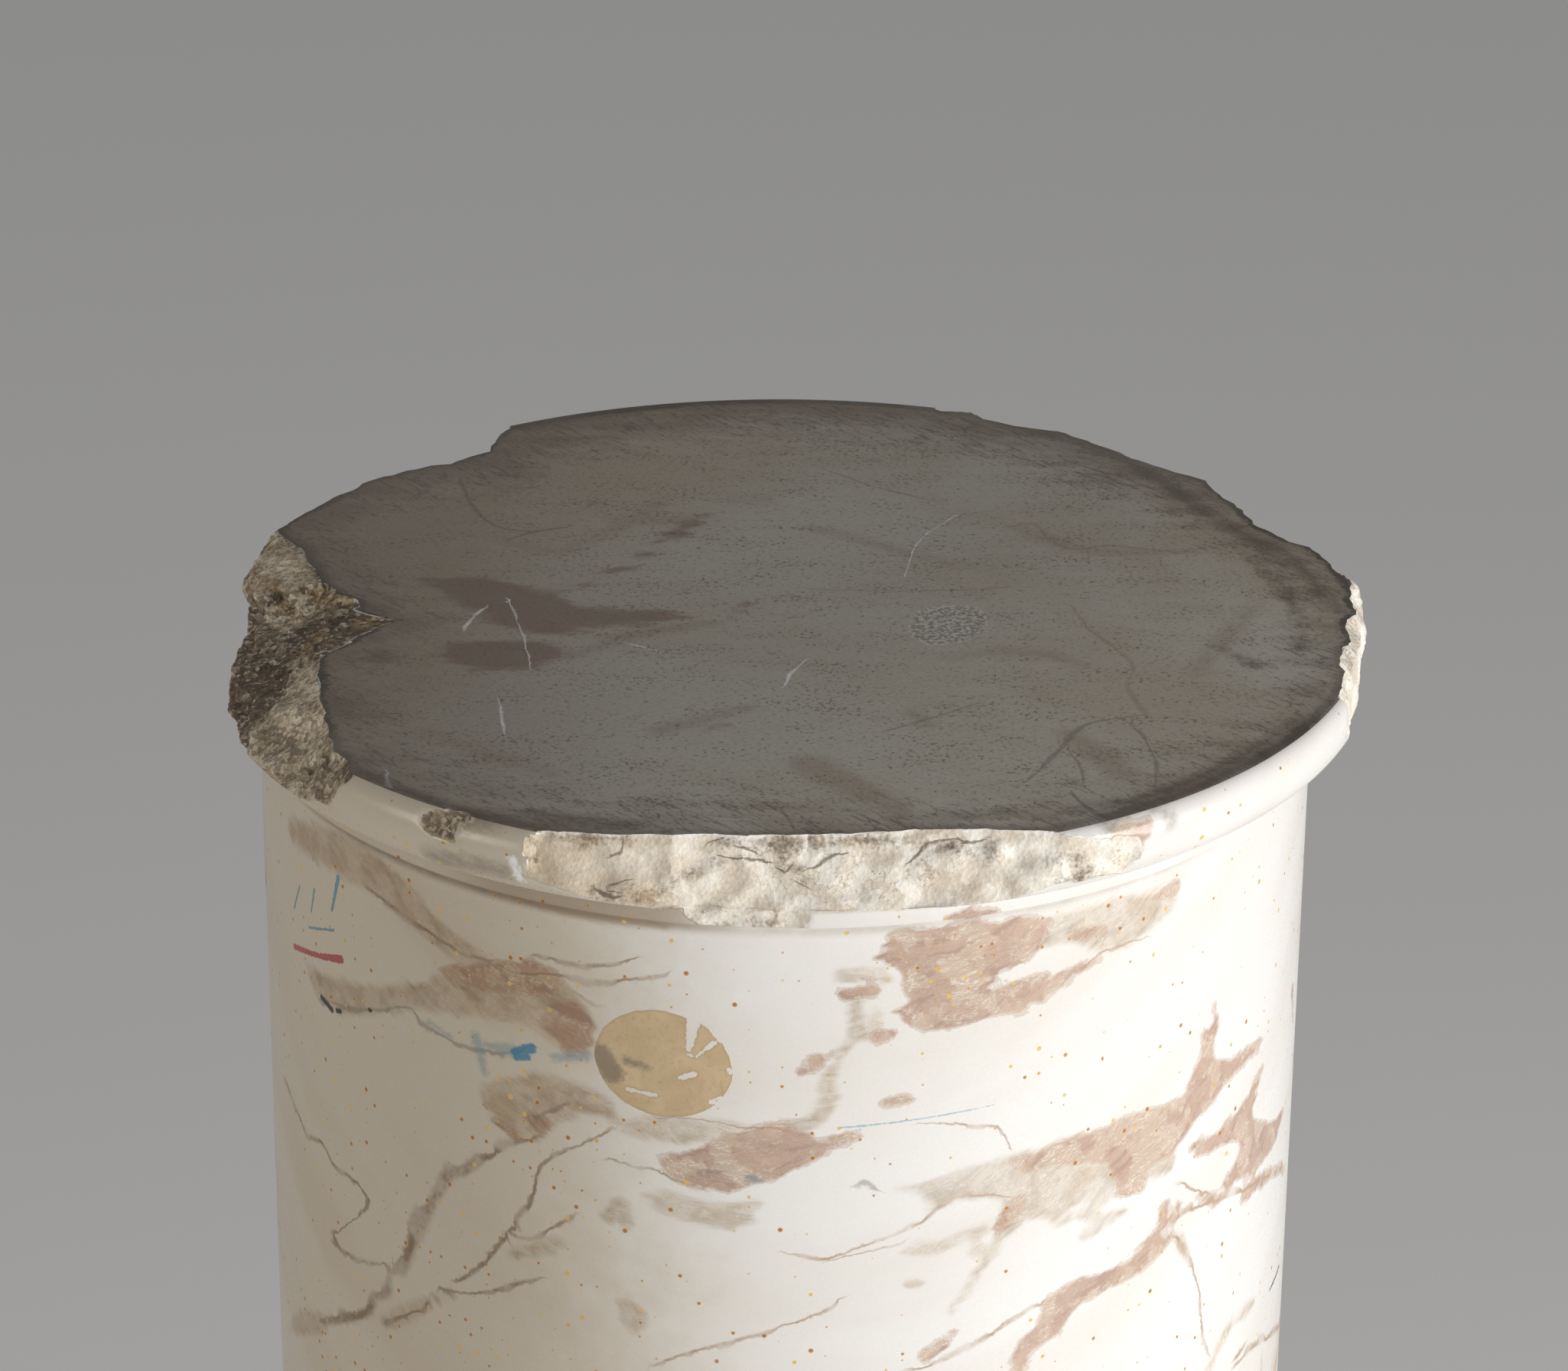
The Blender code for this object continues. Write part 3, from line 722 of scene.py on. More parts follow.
SHAFT_RUST = [
    [(400, 1690, 20), (420, 1760, 30), (470, 1785, 30)], [(560, 1165, 8), (575, 1200, 8)],
    [(1160, 1260, 20), (1250, 1290, 26), (1300, 1240, 18)], [(1060, 1620, 14), (1080, 1640, 10)],
    [(880, 1660, 16), (910, 1690, 16)], [(1090, 1470, 10), (1120, 1500, 14)],
    [(500, 1556, 7), (508, 1562, 6)], [(521, 1603, 5), (529, 1619, 5)], [(480, 1580, 6), (515, 1575, 8)],
    [(560, 1740, 26), (640, 1765, 34)], [(450, 1750, 20), (500, 1770, 20)],
    [(650, 1214, 9), (687, 1212, 9)], [(627, 1250, 7), (639, 1245, 7)], [(700, 1500, 30), (740, 1580, 30)],
]
COLLAR_RUST = [
    [(1489, 1092, 1.5), (1492, 1082, 2), (1497, 1088, 1.5)], [(1507, 1079, 1.5), (1521, 1075, 2)],
    [(1527, 1078, 1.5), (1545, 1068, 2)],
]

# Where the drawings apply: azimuths in degrees, drops below the bed and heights above a break in metres, and
# the runs over which they give way to made-up stone
BROKEN_ABOVE = -0.0004
FACES_SHOWN = 112
DRAWN_DROP = 0.26
DRAWN_SIDE = 100
SHOWN_DROP = 0.235
SHOWN_DROP_FADE = 0.03
SHOWN_SIDE = 84
SHOWN_SIDE_FADE = 8
ON_BED = 1e-6

# How drawings become levels, in metres: a patch's soft edge, a line's reach and the fade at its ends, a
# distance beyond everything and the shortest run. Bands widen towards the shaft's sides, where the photograph
# narrows them
PATCH_SOFTNESS = 0.0022
LEVEL_LIMIT = 3.0
LINE_REACH = 0.005
LINE_END_FADE = 0.003
LINE_STEPS = 5
FAR = 1.0
SHORTEST = 1e-6
SIDE_LIMIT = 0.35
SIDE_POWER = 0.6

# Where no line is near: offset and half width in millimetres. No line is thinner than the last
FAR_OFFSET = 20.0
PLAIN_HALF = 0.5
THINNEST_HALF = 0.15


def smooth_path(points, steps=LINE_STEPS):
    """Points on a smooth curve through the given ones."""
    ends = [points[0]] + list(points) + [points[-1]]
    path = []
    for before, start, end, after in zip(ends, ends[1:], ends[2:], ends[3:]):
        before, start, end, after = (np.array(point) for point in (before, start, end, after))
        for k in range(steps):
            t = k / steps
            path.append(0.5 * (
                2 * start + (end - before) * t + (2 * before - 5 * start + 4 * end - after) * t ** 2
                + (3 * start - before - 3 * end + after) * t ** 3
            ))
    path.append(np.array(points[-1]))
    return np.array(path)


def placed_path(points, place_on):
    """A drawn line in metres on the surface it lies on: two coordinates and its half width."""
    path = []
    for x, y, width in points:
        place = place_on(x, y)
        turned = math.cos(place[0] / SHAFT_RADIUS) if place_on is on_shaft else 1.0
        path.append((*place, width / PIXELS_PER_METRE / max(turned, SIDE_LIMIT) ** SIDE_POWER))
    return smooth_path(path)


def line_measures(places, path):
    """For each place: distance to a path, its side, the half width there and the run past the path's ends."""
    best = np.full(len(places), FAR)
    side = np.zeros(len(places))
    width = np.zeros(len(places))
    past = np.zeros(len(places))
    last = len(path) - 2
    for k, (start, end) in enumerate(zip(path, path[1:])):
        run = end[:2] - start[:2]
        length = max(math.hypot(*run), SHORTEST)
        offset = places - start[:2]
        along = offset @ run / length ** 2
        share = np.clip(along, 0, 1)
        gap = np.hypot(*(offset - share[:, None] * run).T)
        nearer = gap < best
        cross = run[0] * offset[:, 1] - run[1] * offset[:, 0]
        best = np.where(nearer, gap, best)
        side = np.where(nearer, np.sign(cross), side)
        width = np.where(nearer, start[2] + share * (end[2] - start[2]), width)
        over = np.zeros(len(places))
        if k == 0:
            over = np.maximum(over, -along * length)
        if k == last:
            over = np.maximum(over, (along - 1) * length)
        past = np.where(nearer, over, past)
    return best, side, width, past


def outline_depth(places, outline):
    """Depth of each place inside a closed outline, negative outside."""
    inside = np.zeros(len(places), bool)
    gap = np.full(len(places), FAR)
    for start, end in zip(outline, np.roll(outline, -1, axis=0)):
        run = end - start
        offset = places - start
        share = np.clip(offset @ run / max(run @ run, SHORTEST ** 2), 0, 1)
        gap = np.minimum(gap, np.hypot(*(offset - share[:, None] * run).T))
        spans = (start[1] > places[:, 1]) != (end[1] > places[:, 1])
        inside ^= spans & (offset[:, 0] < offset[:, 1] * run[0] / (run[1] or 1.0))
    return np.where(inside, gap, -gap)


def patch_level(places, patches, place_on):
    """How far inside the nearest patch each place lies, in units of the patches' softness."""
    depth = np.full(len(places), -FAR)
    for points in patches:
        if len(points[0]) == 2:
            outline = np.array([place_on(x, y) for x, y in points])
            depth = np.maximum(depth, outline_depth(places, outline))
        else:
            distance, _, width, _ = line_measures(places, placed_path(points, place_on))
            depth = np.maximum(depth, width - distance)
    return np.clip(depth / PATCH_SOFTNESS, -LEVEL_LIMIT, LEVEL_LIMIT)


def line_level(places, lines, place_on):
    """Nearest line: signed distance to it in millimetres, how near it is, from 0 to 1, and half its width."""
    offset = np.full(len(places), FAR_OFFSET)
    near = np.zeros(len(places))
    half = np.full(len(places), PLAIN_HALF)
    best = np.full(len(places), FAR)
    for points in lines:
        distance, side, width, past = line_measures(places, placed_path(points, place_on))
        nearer = distance < best
        best = np.where(nearer, distance, best)
        offset = np.where(nearer, side * distance * MILLIMETRES, offset)
        half = np.where(nearer, np.maximum(width * MILLIMETRES, THINNEST_HALF), half)
        closeness = np.clip(1 - np.maximum(distance - width, 0) / LINE_REACH, 0, 1)
        closeness *= np.clip(1 - past / LINE_END_FADE, 0, 1)
        near = np.where(nearer, closeness, near)
    return np.clip(offset, -FAR_OFFSET, FAR_OFFSET), near, half


def add_attribute(mesh, name, *parts):
    """Keep up to three numbers for each point of a mesh."""
    values = np.zeros((len(mesh.vertices), 3), np.float32)
    for k, part in enumerate(parts):
        values[:, k] = part
    mesh.attributes.new(name, "FLOAT_VECTOR", "POINT").data.foreach_set("vector", values.ravel())


def on_bead(x, y):
    """Place on the bead that a pixel shows."""
    return on_shaft(x, y, BEAD_RADIUS)


def in_picture(x, y):
    """A pixel's place in the photograph's frame, in metres at the column's scale."""
    return x / PIXELS_PER_METRE, y / PIXELS_PER_METRE


def seen_at(places):
    """Where in the photograph's frame each place of the column appears."""
    local = (places - np.array(CAMERA_PLACE)) @ np.array(camera_turn())
    x = PICTURE_WIDTH / 2 - LENS_PIXELS * local[:, 0] / local[:, 2]
    y = PICTURE_HEIGHT / 2 + LENS_PIXELS * local[:, 1] / local[:, 2]
    return np.stack([x, y], axis=1) / PIXELS_PER_METRE


def levels(zones, count):
    """Highest of several drawings' levels; a zone is (mask, places, patches, place_on)."""
    level = np.full(count, -LEVEL_LIMIT)
    for mask, places, patches, place_on in zones:
        level[mask] = np.maximum(level[mask], patch_level(places[mask], patches, place_on))
    return level


def paint_points(mesh, rows):
    """Attributes that the stone's shader reads."""
    count = len(rows)
    places = rows[:, :3]
    drop = HEIGHT - places[:, 2]
    azimuth = np.arctan2(places[:, 0], -places[:, 1])
    wrapped = np.stack([azimuth * SHAFT_RADIUS, drop], axis=1)
    flat = places[:, :2]
    aside = np.degrees(np.abs(azimuth))
    on_top = drop < ON_BED
    shown = np.clip((SHOWN_DROP - drop) / SHOWN_DROP_FADE, 0, 1)
    shown *= np.clip((SHOWN_SIDE - aside) / SHOWN_SIDE_FADE, 0, 1)
    shown = np.where(on_top, 1.0, shown)
    in_view = (drop < DRAWN_DROP) & ~on_top & (aside < DRAWN_SIDE)
    on_collar = in_view & (drop < COLLAR_HEIGHT)
    mauve = levels([
        (in_view, wrapped, SHAFT_MAUVE, on_shaft), (on_collar, wrapped, COLLAR_MAUVE, on_bead),
        (on_top, flat, BED_MAUVE, on_bed),
    ], count)
    beige = levels([(in_view, wrapped, SHAFT_BEIGE, on_shaft), (on_top, flat, BED_BROWN, on_bed)], count)
    add_attribute(mesh, "patches", mauve, beige, shown)
    seen = seen_at(places)
    on_face = (rows[:, 3] > BROKEN_ABOVE) & (aside < FACES_SHOWN) & ~on_top
    on_collar &= ~on_face
    dirt = levels([
        (on_collar, wrapped, COLLAR_DIRT, on_bead), (on_top, flat, BED_DIRT, on_bed),
        (on_face, seen, FACE_DIRT, in_picture),
    ], count)
    pale = levels([
        (on_collar, wrapped, COLLAR_PALE, on_bead), (on_top, flat, BED_BRUISE, on_bed),
        (on_face, seen, FACE_PALE, in_picture),
    ], count)
    rust = levels([
        (in_view & ~on_face, wrapped, SHAFT_RUST, on_shaft), (on_collar, wrapped, COLLAR_RUST, on_bead),
        (on_face, seen, FACE_RUST, in_picture),
    ], count)
    add_attribute(mesh, "marks", dirt, pale, rust)
    for number, (shaft_lines, bed_lines, face_lines) in enumerate(zip(SHAFT_LINES, BED_LINES, FACE_LINES)):
        drawn = np.tile(np.array([[FAR_OFFSET], [0.0], [PLAIN_HALF]]), (1, count))
        drawn[:, in_view] = line_level(wrapped[in_view], shaft_lines, on_shaft)
        drawn[:, on_top] = line_level(flat[on_top], bed_lines, on_bed)
        drawn[:, on_face] = line_level(seen[on_face], face_lines, in_picture)
        add_attribute(mesh, f"line_{number}", *drawn)
    add_attribute(mesh, "stone", rows[:, 3] * MILLIMETRES, rows[:, 4], rows[:, 5] * MILLIMETRES)


def column_object():
    """The whole column as one closed mesh."""
    rings = column_rings()
    rows = [row for ring in rings for row in ring]
    faces = []
    first = 0
    numbers = []
    for ring in rings:
        numbers.append(list(range(first, first + len(ring))))
        first += len(ring)
    for upper, lower in zip(numbers, numbers[1:]):
        faces += stitch(upper, lower)
    bed_middle = len(rows)
    lowest_middle = bed_middle + 1
    rows.append((COLLAR_SHIFT, 0.0, HEIGHT, NO_BREAK, 0.0, CORE_RADIUS))
    rows.append((0.0, 0.0, 0.0, NO_BREAK, 0.0, CORE_RADIUS))
    first_ring, last_ring = numbers[0], numbers[-1]
    faces += [(bed_middle, here, after) for here, after in zip(first_ring, first_ring[1:] + first_ring[:1])]
    faces += [(lowest_middle, after, here) for here, after in zip(last_ring, last_ring[1:] + last_ring[:1])]
    rows = np.array(rows)
    mesh = bpy.data.meshes.new("column_stone")
    mesh.from_pydata(rows[:, :3].tolist(), [], faces)
    mesh.update()
    paint_points(mesh, rows)
    mesh.shade_smooth()
    mesh.set_sharp_from_angle(angle=math.radians(SHARP_ANGLE))
    piece = bpy.data.objects.new("column_stone", mesh)
    bpy.context.scene.collection.objects.link(piece)
    return piece


class Graph:
    """Short calls that add a material's nodes and give back their outputs."""

    def __init__(self, tree):
        self.tree = tree

    def node(self, kind, inputs, **settings):
        made = self.tree.nodes.new(kind)
        for name, value in settings.items():
            setattr(made, name, value)
        for name, value in inputs.items():
            socket = made.inputs[name]
            if isinstance(value, bpy.types.NodeSocket):
                self.tree.links.new(value, socket)
            else:
                socket.default_value = value
        return made

    def math(self, operation, first, second=0.0, third=0.0, clamp=False):
        inputs = {0: first, 1: second, 2: third}
        return self.node("ShaderNodeMath", inputs, operation=operation, use_clamp=clamp).outputs[0]

    def add(self, first, second):
        return self.math("ADD", first, second)

    def multiply(self, first, second):
        return self.math("MULTIPLY", first, second)

    def weighted(self, value, weight, rest):
        """A value times its weight, added to the rest."""
        return self.math("MULTIPLY_ADD", value, weight, rest)

    def most(self, first, *others):
        """Highest of several values."""
        for other in others:
            first = self.math("MAXIMUM", first, other)
        return first

    def vector(self, operation, first, second=(0, 0, 0), scale=1.0):
        inputs = {0: first, 3: scale} if operation == "SCALE" else {0: first, 1: second}
        made = self.node("ShaderNodeVectorMath", inputs, operation=operation)
        single = operation in ("DOT_PRODUCT", "LENGTH", "DISTANCE")
        return made.outputs["Value" if single else "Vector"]

    def ramp(self, value, low, high, start=0.0, end=1.0):
        """Smooth rise from start at low to end at high."""
        inputs = {"Value": value, "From Min": low, "From Max": high, "To Min": start, "To Max": end}
        return self.node("ShaderNodeMapRange", inputs, interpolation_type="SMOOTHSTEP").outputs["Result"]

    def mix(self, share, first, second):
        inputs = {0: share, 6: first, 7: second}
        return self.node("ShaderNodeMix", inputs, data_type="RGBA").outputs[2]

    def between(self, share, first, second):
        """Number between two numbers."""
        return self.node("ShaderNodeMix", {0: share, 2: first, 3: second}, data_type="FLOAT").outputs[0]

    def noise(self, place, size, detail=2.0, roughness=0.5, colour=False):
        inputs = {"Vector": place, "Scale": 1.0 / size, "Detail": detail, "Roughness": roughness}
        made = self.node("ShaderNodeTexNoise", inputs, noise_dimensions="3D")
        return made.outputs["Color" if colour else "Fac"]

    def cells(self, place, size, dimensions):
        """Distance to the nearest of scattered points, in units of size, and its three random numbers."""
        inputs = {"Vector": place, "Scale": 1.0 / size}
        made = self.node("ShaderNodeTexVoronoi", inputs, voronoi_dimensions=dimensions, feature="F1")
        return made.outputs["Distance"], self.split(made.outputs["Color"])[:3]

    def centred(self, value, factor):
        """Noise about zero."""
        return self.weighted(value, factor, -0.5 * factor)

    def line(self, value, level, width):
        """Thin line where a value crosses a level."""
        return self.ramp(self.math("ABSOLUTE", self.add(value, -level)), 0.0, width, 1.0, 0.0)

    def split(self, vector):
        return self.node("ShaderNodeSeparateXYZ", {0: vector}).outputs

    def join(self, x, y, z):
        return self.node("ShaderNodeCombineXYZ", {0: x, 1: y, 2: z}).outputs[0]

    def attribute(self, name):
        return self.split(self.node("ShaderNodeAttribute", {}, attribute_name=name).outputs["Vector"])


def stroke_group():
    """Node group: how deep a place lies inside a brush stroke, in millimetres."""
    tree = bpy.data.node_groups.new("stroke", "ShaderNodeTree")
    for name in ("Place", "Start", "Run"):
        tree.interface.new_socket(name, in_out="INPUT", socket_type="NodeSocketVector")
    for name in ("Run Square", "Half Width", "Widening"):
        tree.interface.new_socket(name, in_out="INPUT", socket_type="NodeSocketFloat")
    tree.interface.new_socket("Depth", in_out="OUTPUT", socket_type="NodeSocketFloat")
    graph = Graph(tree)
    given = tree.nodes.new("NodeGroupInput").outputs
    offset = graph.vector("SUBTRACT", given["Place"], given["Start"])
    along = graph.vector("DOT_PRODUCT", offset, given["Run"])
    share = graph.math("DIVIDE", along, given["Run Square"], clamp=True)
    nearest = graph.vector("SCALE", given["Run"], scale=share)
    gap = graph.vector("DISTANCE", offset, nearest)
    width = graph.weighted(share, given["Widening"], given["Half Width"])
    result = tree.nodes.new("NodeGroupOutput")
    tree.links.new(graph.math("SUBTRACT", width, gap), result.inputs["Depth"])
    return tree


# Least square of a stroke's length, in square millimetres, for those that are a dot
LEAST_RUN_SQUARE = 0.01


class Strokes:
    """Adds strokes that the photograph's pixels place on the shaft, all in millimetres."""

    def __init__(self, graph, place):
        self.graph = graph
        self.place = place
        self.group = bpy.data.node_groups.get("stroke") or stroke_group()

    def one(self, start, end, start_width, end_width):
        start_place = Vector((*on_shaft(*start), 0)) * MILLIMETRES
        run = Vector((*on_shaft(*end), 0)) * MILLIMETRES - start_place
        inputs = {
            "Place": self.place, "Start": start_place, "Run": run,
            "Run Square": max(run.length_squared, LEAST_RUN_SQUARE),
            "Half Width": start_width, "Widening": end_width - start_width,
        }
        return self.graph.node("ShaderNodeGroup", inputs, node_tree=self.group).outputs["Depth"]

    def deepest(self, strokes):
        """Depth inside the deepest of several strokes."""
        return self.graph.most(*[self.one(*stroke) for stroke in strokes])


# Paint and stains on the shaft: start and end in pixels of the photograph, half widths in millimetres
TEAL_STROKES = [
    ((392, 1158), (385, 1186), 0.35, 0.45),
    ((411, 1162), (407, 1192), 0.5, 0.35),
    ((442, 1148), (434, 1190), 0.9, 0.5),
    ((404, 1212), (436, 1216), 0.35, 0.45),
]
RED_STROKES = [
    ((385, 1237), (420, 1250), 0.9, 0.8),
    ((420, 1250), (446, 1254), 0.9, 1.3),
]
BLACK_STROKES = [
    ((421, 1304), (434, 1320), 0.9, 0.9),
    ((441, 1321), (445, 1322), 0.8, 0.8),
    ((483, 1320), (485, 1321), 0.7, 0.6),
    ((1672, 1655), (1660, 1686), 0.6, 0.4),
]
BLUE_STROKES = [
    ((672, 1375), (694, 1371), 1.0, 1.7),
    ((676, 1381), (690, 1382), 1.2, 1.0),
]
BLUE_STAINS = [
    ((622, 1356), (628, 1372), 1.6, 2.0),
    ((628, 1380), (634, 1404), 1.2, 0.8),
    ((634, 1366), (670, 1374), 1.0, 2.0),
    ((724, 1382), (764, 1380), 1.2, 1.6),
    ((978, 1540), (992, 1543), 1.0, 1.0),
    ((560, 1336), (590, 1356), 0.6, 0.6),
]
BLUE_LINE = [((1100, 1474), (1300, 1444), 0.22, 0.12)]

# The paper remnant: its middle, the ends of its two axes, the bites out of it and its stains, as the strokes
PAPER_MIDDLE = (866, 1391)
PAPER_SIDE = (957, 1402)
PAPER_FOOT = (862, 1459)
PAPER_BITES = [
    ((908, 1330), (901, 1372), 1.8, 1.0),
    ((893, 1376), (904, 1380), 0.5, 1.0),
    ((910, 1381), (934, 1363), 0.5, 0.7),
    ((932, 1346), (945, 1358), 1.0, 1.4),
    ((820, 1423), (857, 1432), 0.5, 0.8),
    ((930, 1440), (948, 1437), 0.9, 1.2),
    ((953, 1399), (956, 1402), 0.8, 0.8),
    ((891, 1409), (908, 1404), 0.5, 0.6),
]
PAPER_STAINS = [
    ((786, 1378), (800, 1402), 3.0, 3.2),
    ((818, 1386), (846, 1395), 1.2, 0.8),
]


def paper_depth(graph, place, ragged):
    """Depth inside the oval paper remnant, in millimetres."""
    middle = Vector(on_shaft(*PAPER_MIDDLE)) * MILLIMETRES
    side = Vector(on_shaft(*PAPER_SIDE)) * MILLIMETRES - middle
    foot = Vector(on_shaft(*PAPER_FOOT)) * MILLIMETRES - middle
    offset = graph.vector("SUBTRACT", place, (*middle, 0))
    across = graph.vector("DOT_PRODUCT", offset, (*(side / side.length_squared), 0))
    down = graph.vector("DOT_PRODUCT", offset, (*(foot / foot.length_squared), 0))
    span = graph.vector("LENGTH", graph.join(across, down, 0.0))
    return graph.multiply(graph.math("SUBTRACT", 1.0, graph.add(span, ragged)), foot.length)


# Bedding of the stone: it sags like a bowl towards the middle of the front, and dips to the back
BOWL_MIDDLE = 5.0
BOWL_CURVE = 0.00265
BACK_DIP = 0.3

# The two creases of the collar, darkened with dirt and painted shade: depth below the bed and width, in
# millimetres
BEAD_CREASE = 19.9
BEAD_CREASE_WIDTH = 1.6
NECK_CREASE = 27.6
NECK_CREASE_WIDTH = 3.4

# Sizes of the stone's noises and cells, in millimetres, and how far the sway bends the bedding
SWAY_SIZE = 30.0
SWAY_REACH = (26.0, 26.0, 14.0)
CLOUD_SIZE = 34.0
FIBRE_SIZE = 3.2
BLOTCH_SIZE = 9.0
GRAIN_SIZE = 1.3
CRYSTAL_SIZE = 1.25
VEIN_SIZE = 58.0
SPECK_SIZE = 4.2
SCUFF_SIZE = 2.2

# The bed is what lies less than this far below its plane, in millimetres
ON_BED_DEPTH = 0.15


class Stone:
    """Places, noises and painted levels of the stone, and the colours worked out from them."""

    def __init__(self, graph):
        self.graph = graph
        metres = graph.node("ShaderNodeTexCoord", {}).outputs["Object"]
        place = graph.vector("SCALE", metres, scale=MILLIMETRES)
        x, y, z = graph.split(place)[:3]
        azimuth = graph.math("ARCTAN2", x, graph.multiply(y, -1.0))
        drop = graph.math("SUBTRACT", HEIGHT * MILLIMETRES, z)
        on_top = graph.math("LESS_THAN", drop, ON_BED_DEPTH)
        self.place, self.x, self.y, self.drop, self.on_top = place, x, y, drop, on_top
        self.wrapped = graph.join(graph.multiply(azimuth, SHAFT_RADIUS * MILLIMETRES), drop, 0.0)
        self.strokes = Strokes(graph, self.wrapped)
        sway = graph.noise(place, SWAY_SIZE, 2.0, colour=True)
        flow = graph.split(sway)[1]
        sway = graph.vector("SUBTRACT", sway, (0.5, 0.5, 0.5))
        swayed = graph.vector("ADD", place, graph.vector("MULTIPLY", sway, SWAY_REACH))
        bent_x, bent_y, bent_z = graph.split(swayed)[:3]
        from_middle = graph.add(bent_x, -BOWL_MIDDLE)
        layer = graph.weighted(bent_y, -BACK_DIP, bent_z)
        layer = graph.weighted(graph.multiply(from_middle, from_middle), -BOWL_CURVE, layer)
        bedding = graph.join(graph.multiply(bent_x, 0.2), graph.multiply(bent_y, 0.2), layer)

        # Noises: broad clouds and fibres along the bedding, blotches that lie flat on the bed, fine grain
        blotched = graph.mix(on_top, place, graph.vector("MULTIPLY", place, (0.35, 1.0, 1.0)))
        self.cloud = graph.noise(bedding, CLOUD_SIZE, 3.0)
        self.fibre = graph.noise(bedding, FIBRE_SIZE, 5.0, 0.65)
        self.blotch = graph.noise(blotched, BLOTCH_SIZE, 4.0, 0.6)
        self.grain = graph.noise(place, GRAIN_SIZE, 3.0, 0.7)
        self.push = graph.add(graph.centred(self.fibre, 1.9), graph.centred(self.blotch, 2.6))
        self.fleck = graph.centred(self.grain, 1.0)
        self.crystal, (self.sparkle, _, _) = graph.cells(place, CRYSTAL_SIZE, "3D")

        # What the mesh says of each point
        self.mauve_level, self.beige_level, self.shown = graph.attribute("patches")[:3]
        dirt_mark, pale_mark, rust_mark = graph.attribute("marks")[:3]
        broken_height, self.soil, self.inset = graph.attribute("stone")[:3]
        self.broken = graph.ramp(graph.weighted(self.fleck, 0.3, broken_height), -0.05, 0.05)
        dirt = graph.add(dirt_mark, graph.weighted(self.fleck, 2.0, self.push))
        self.dirt_mark = graph.ramp(dirt, -1.4, 1.2)
        self.pale_mark = graph.ramp(graph.weighted(self.fleck, 2.0, pale_mark), -0.4, 0.3)
        self.rust_mark = graph.ramp(rust_mark, -1.0, 1.0)
        # Darker, yellower left side: partly a stain on the stone, partly painted shade where the key lamp's
        # light falls off
        self.left = graph.ramp(graph.add(x, graph.centred(self.blotch, 30.0)), 0.0, -80.0)
        self.left_stain_and_shade = graph.mix(self.left, (1, 1, 1, 1), (0.715, 0.645, 0.53, 1))
        self.hidden = graph.math("SUBTRACT", 1.0, self.shown)

        # Patches: drawn ones where the photograph shows the stone, and others like them elsewhere
        wild = graph.ramp(self.cloud, 0.44, 0.72, -LEVEL_LIMIT, 2.6)
        beige = graph.between(self.shown, wild, self.beige_level)
        wild_mauve = graph.weighted(flow, 3.6, graph.add(wild, -2.9))
        mauve = graph.between(self.shown, wild_mauve, self.mauve_level)
        self.beige = graph.ramp(graph.add(beige, self.push), -0.9, 0.5)
        self.mauve = graph.ramp(graph.add(mauve, self.push), -0.5, 0.15)
        self.patch_edge = graph.line(graph.add(mauve, self.push), -0.35, 0.16)
        wander = graph.weighted(self.fleck, 0.5, graph.centred(self.blotch, 5.0))
        self.wander = graph.multiply(wander, graph.ramp(on_top, 0.0, 1.0, 1.0, 0.45))
        self.lines = [self.line_cover(number) for number in range(len(SHAFT_LINES))]

    def line_cover(self, number):
        """How much of a place a group of thin lines covers."""
        graph = self.graph
        offset, near, half = graph.attribute(f"line_{number}")[:3]
        waved = graph.math("ABSOLUTE", graph.add(self.wander, offset))
        swelled = graph.multiply(half, graph.ramp(self.blotch, 0.38, 0.62, 1.6, 0.6))
        cover = graph.ramp(graph.math("DIVIDE", waved, swelled), 0.3, 1.45, 1.0, 0.0)
        return graph.multiply(cover, near)

    def polished(self):
        """Polished marble with its patches, veins, and creases darkened with dirt and painted shade."""
        graph = self.graph
        white = graph.mix(graph.ramp(self.cloud, 0.35, 0.7), (0.82, 0.80, 0.76, 1), (0.77, 0.73, 0.665, 1))
        two_tone = graph.ramp(self.fibre, 0.36, 0.64)
        beige_colour = graph.mix(two_tone, (0.60, 0.485, 0.36, 1), (0.42, 0.325, 0.225, 1))
        mauve_colour = graph.mix(two_tone, (0.54, 0.375, 0.285, 1), (0.42, 0.275, 0.205, 1))
        flaked = graph.ramp(self.blotch, 0.47, 0.56)
        mauve_colour = graph.mix(graph.multiply(flaked, 0.75), mauve_colour, (0.58, 0.45, 0.34, 1))
        vein_colour = graph.mix(self.left, (0.44, 0.30, 0.20, 1), (0.32, 0.235, 0.155, 1))
        beige_share = graph.multiply(self.beige, graph.ramp(self.blotch, 0.35, 0.6, 0.85, 0.5))
        marble = graph.mix(beige_share, white, beige_colour)
        marble = graph.mix(graph.multiply(self.mauve, 0.94), marble, mauve_colour)
        marble = graph.mix(graph.multiply(self.patch_edge, 0.35), marble, (0.42, 0.28, 0.17, 1))
        in_patch = graph.most(self.mauve, self.beige)
        dark_hair = graph.multiply(graph.line(self.fibre, 0.45, 0.010), graph.multiply(in_patch, 0.5))
        marble = graph.mix(dark_hair, marble, (0.38, 0.27, 0.15, 1))
        pale_hair = graph.most(graph.line(self.fibre, 0.56, 0.016), graph.line(self.fibre, 0.49, 0.010))
        hair_share = graph.multiply(in_patch, graph.ramp(flaked, 0.0, 1.0, 0.3, 0.85))
        marble = graph.mix(graph.multiply(pale_hair, hair_share), marble, (0.84, 0.77, 0.67, 1))

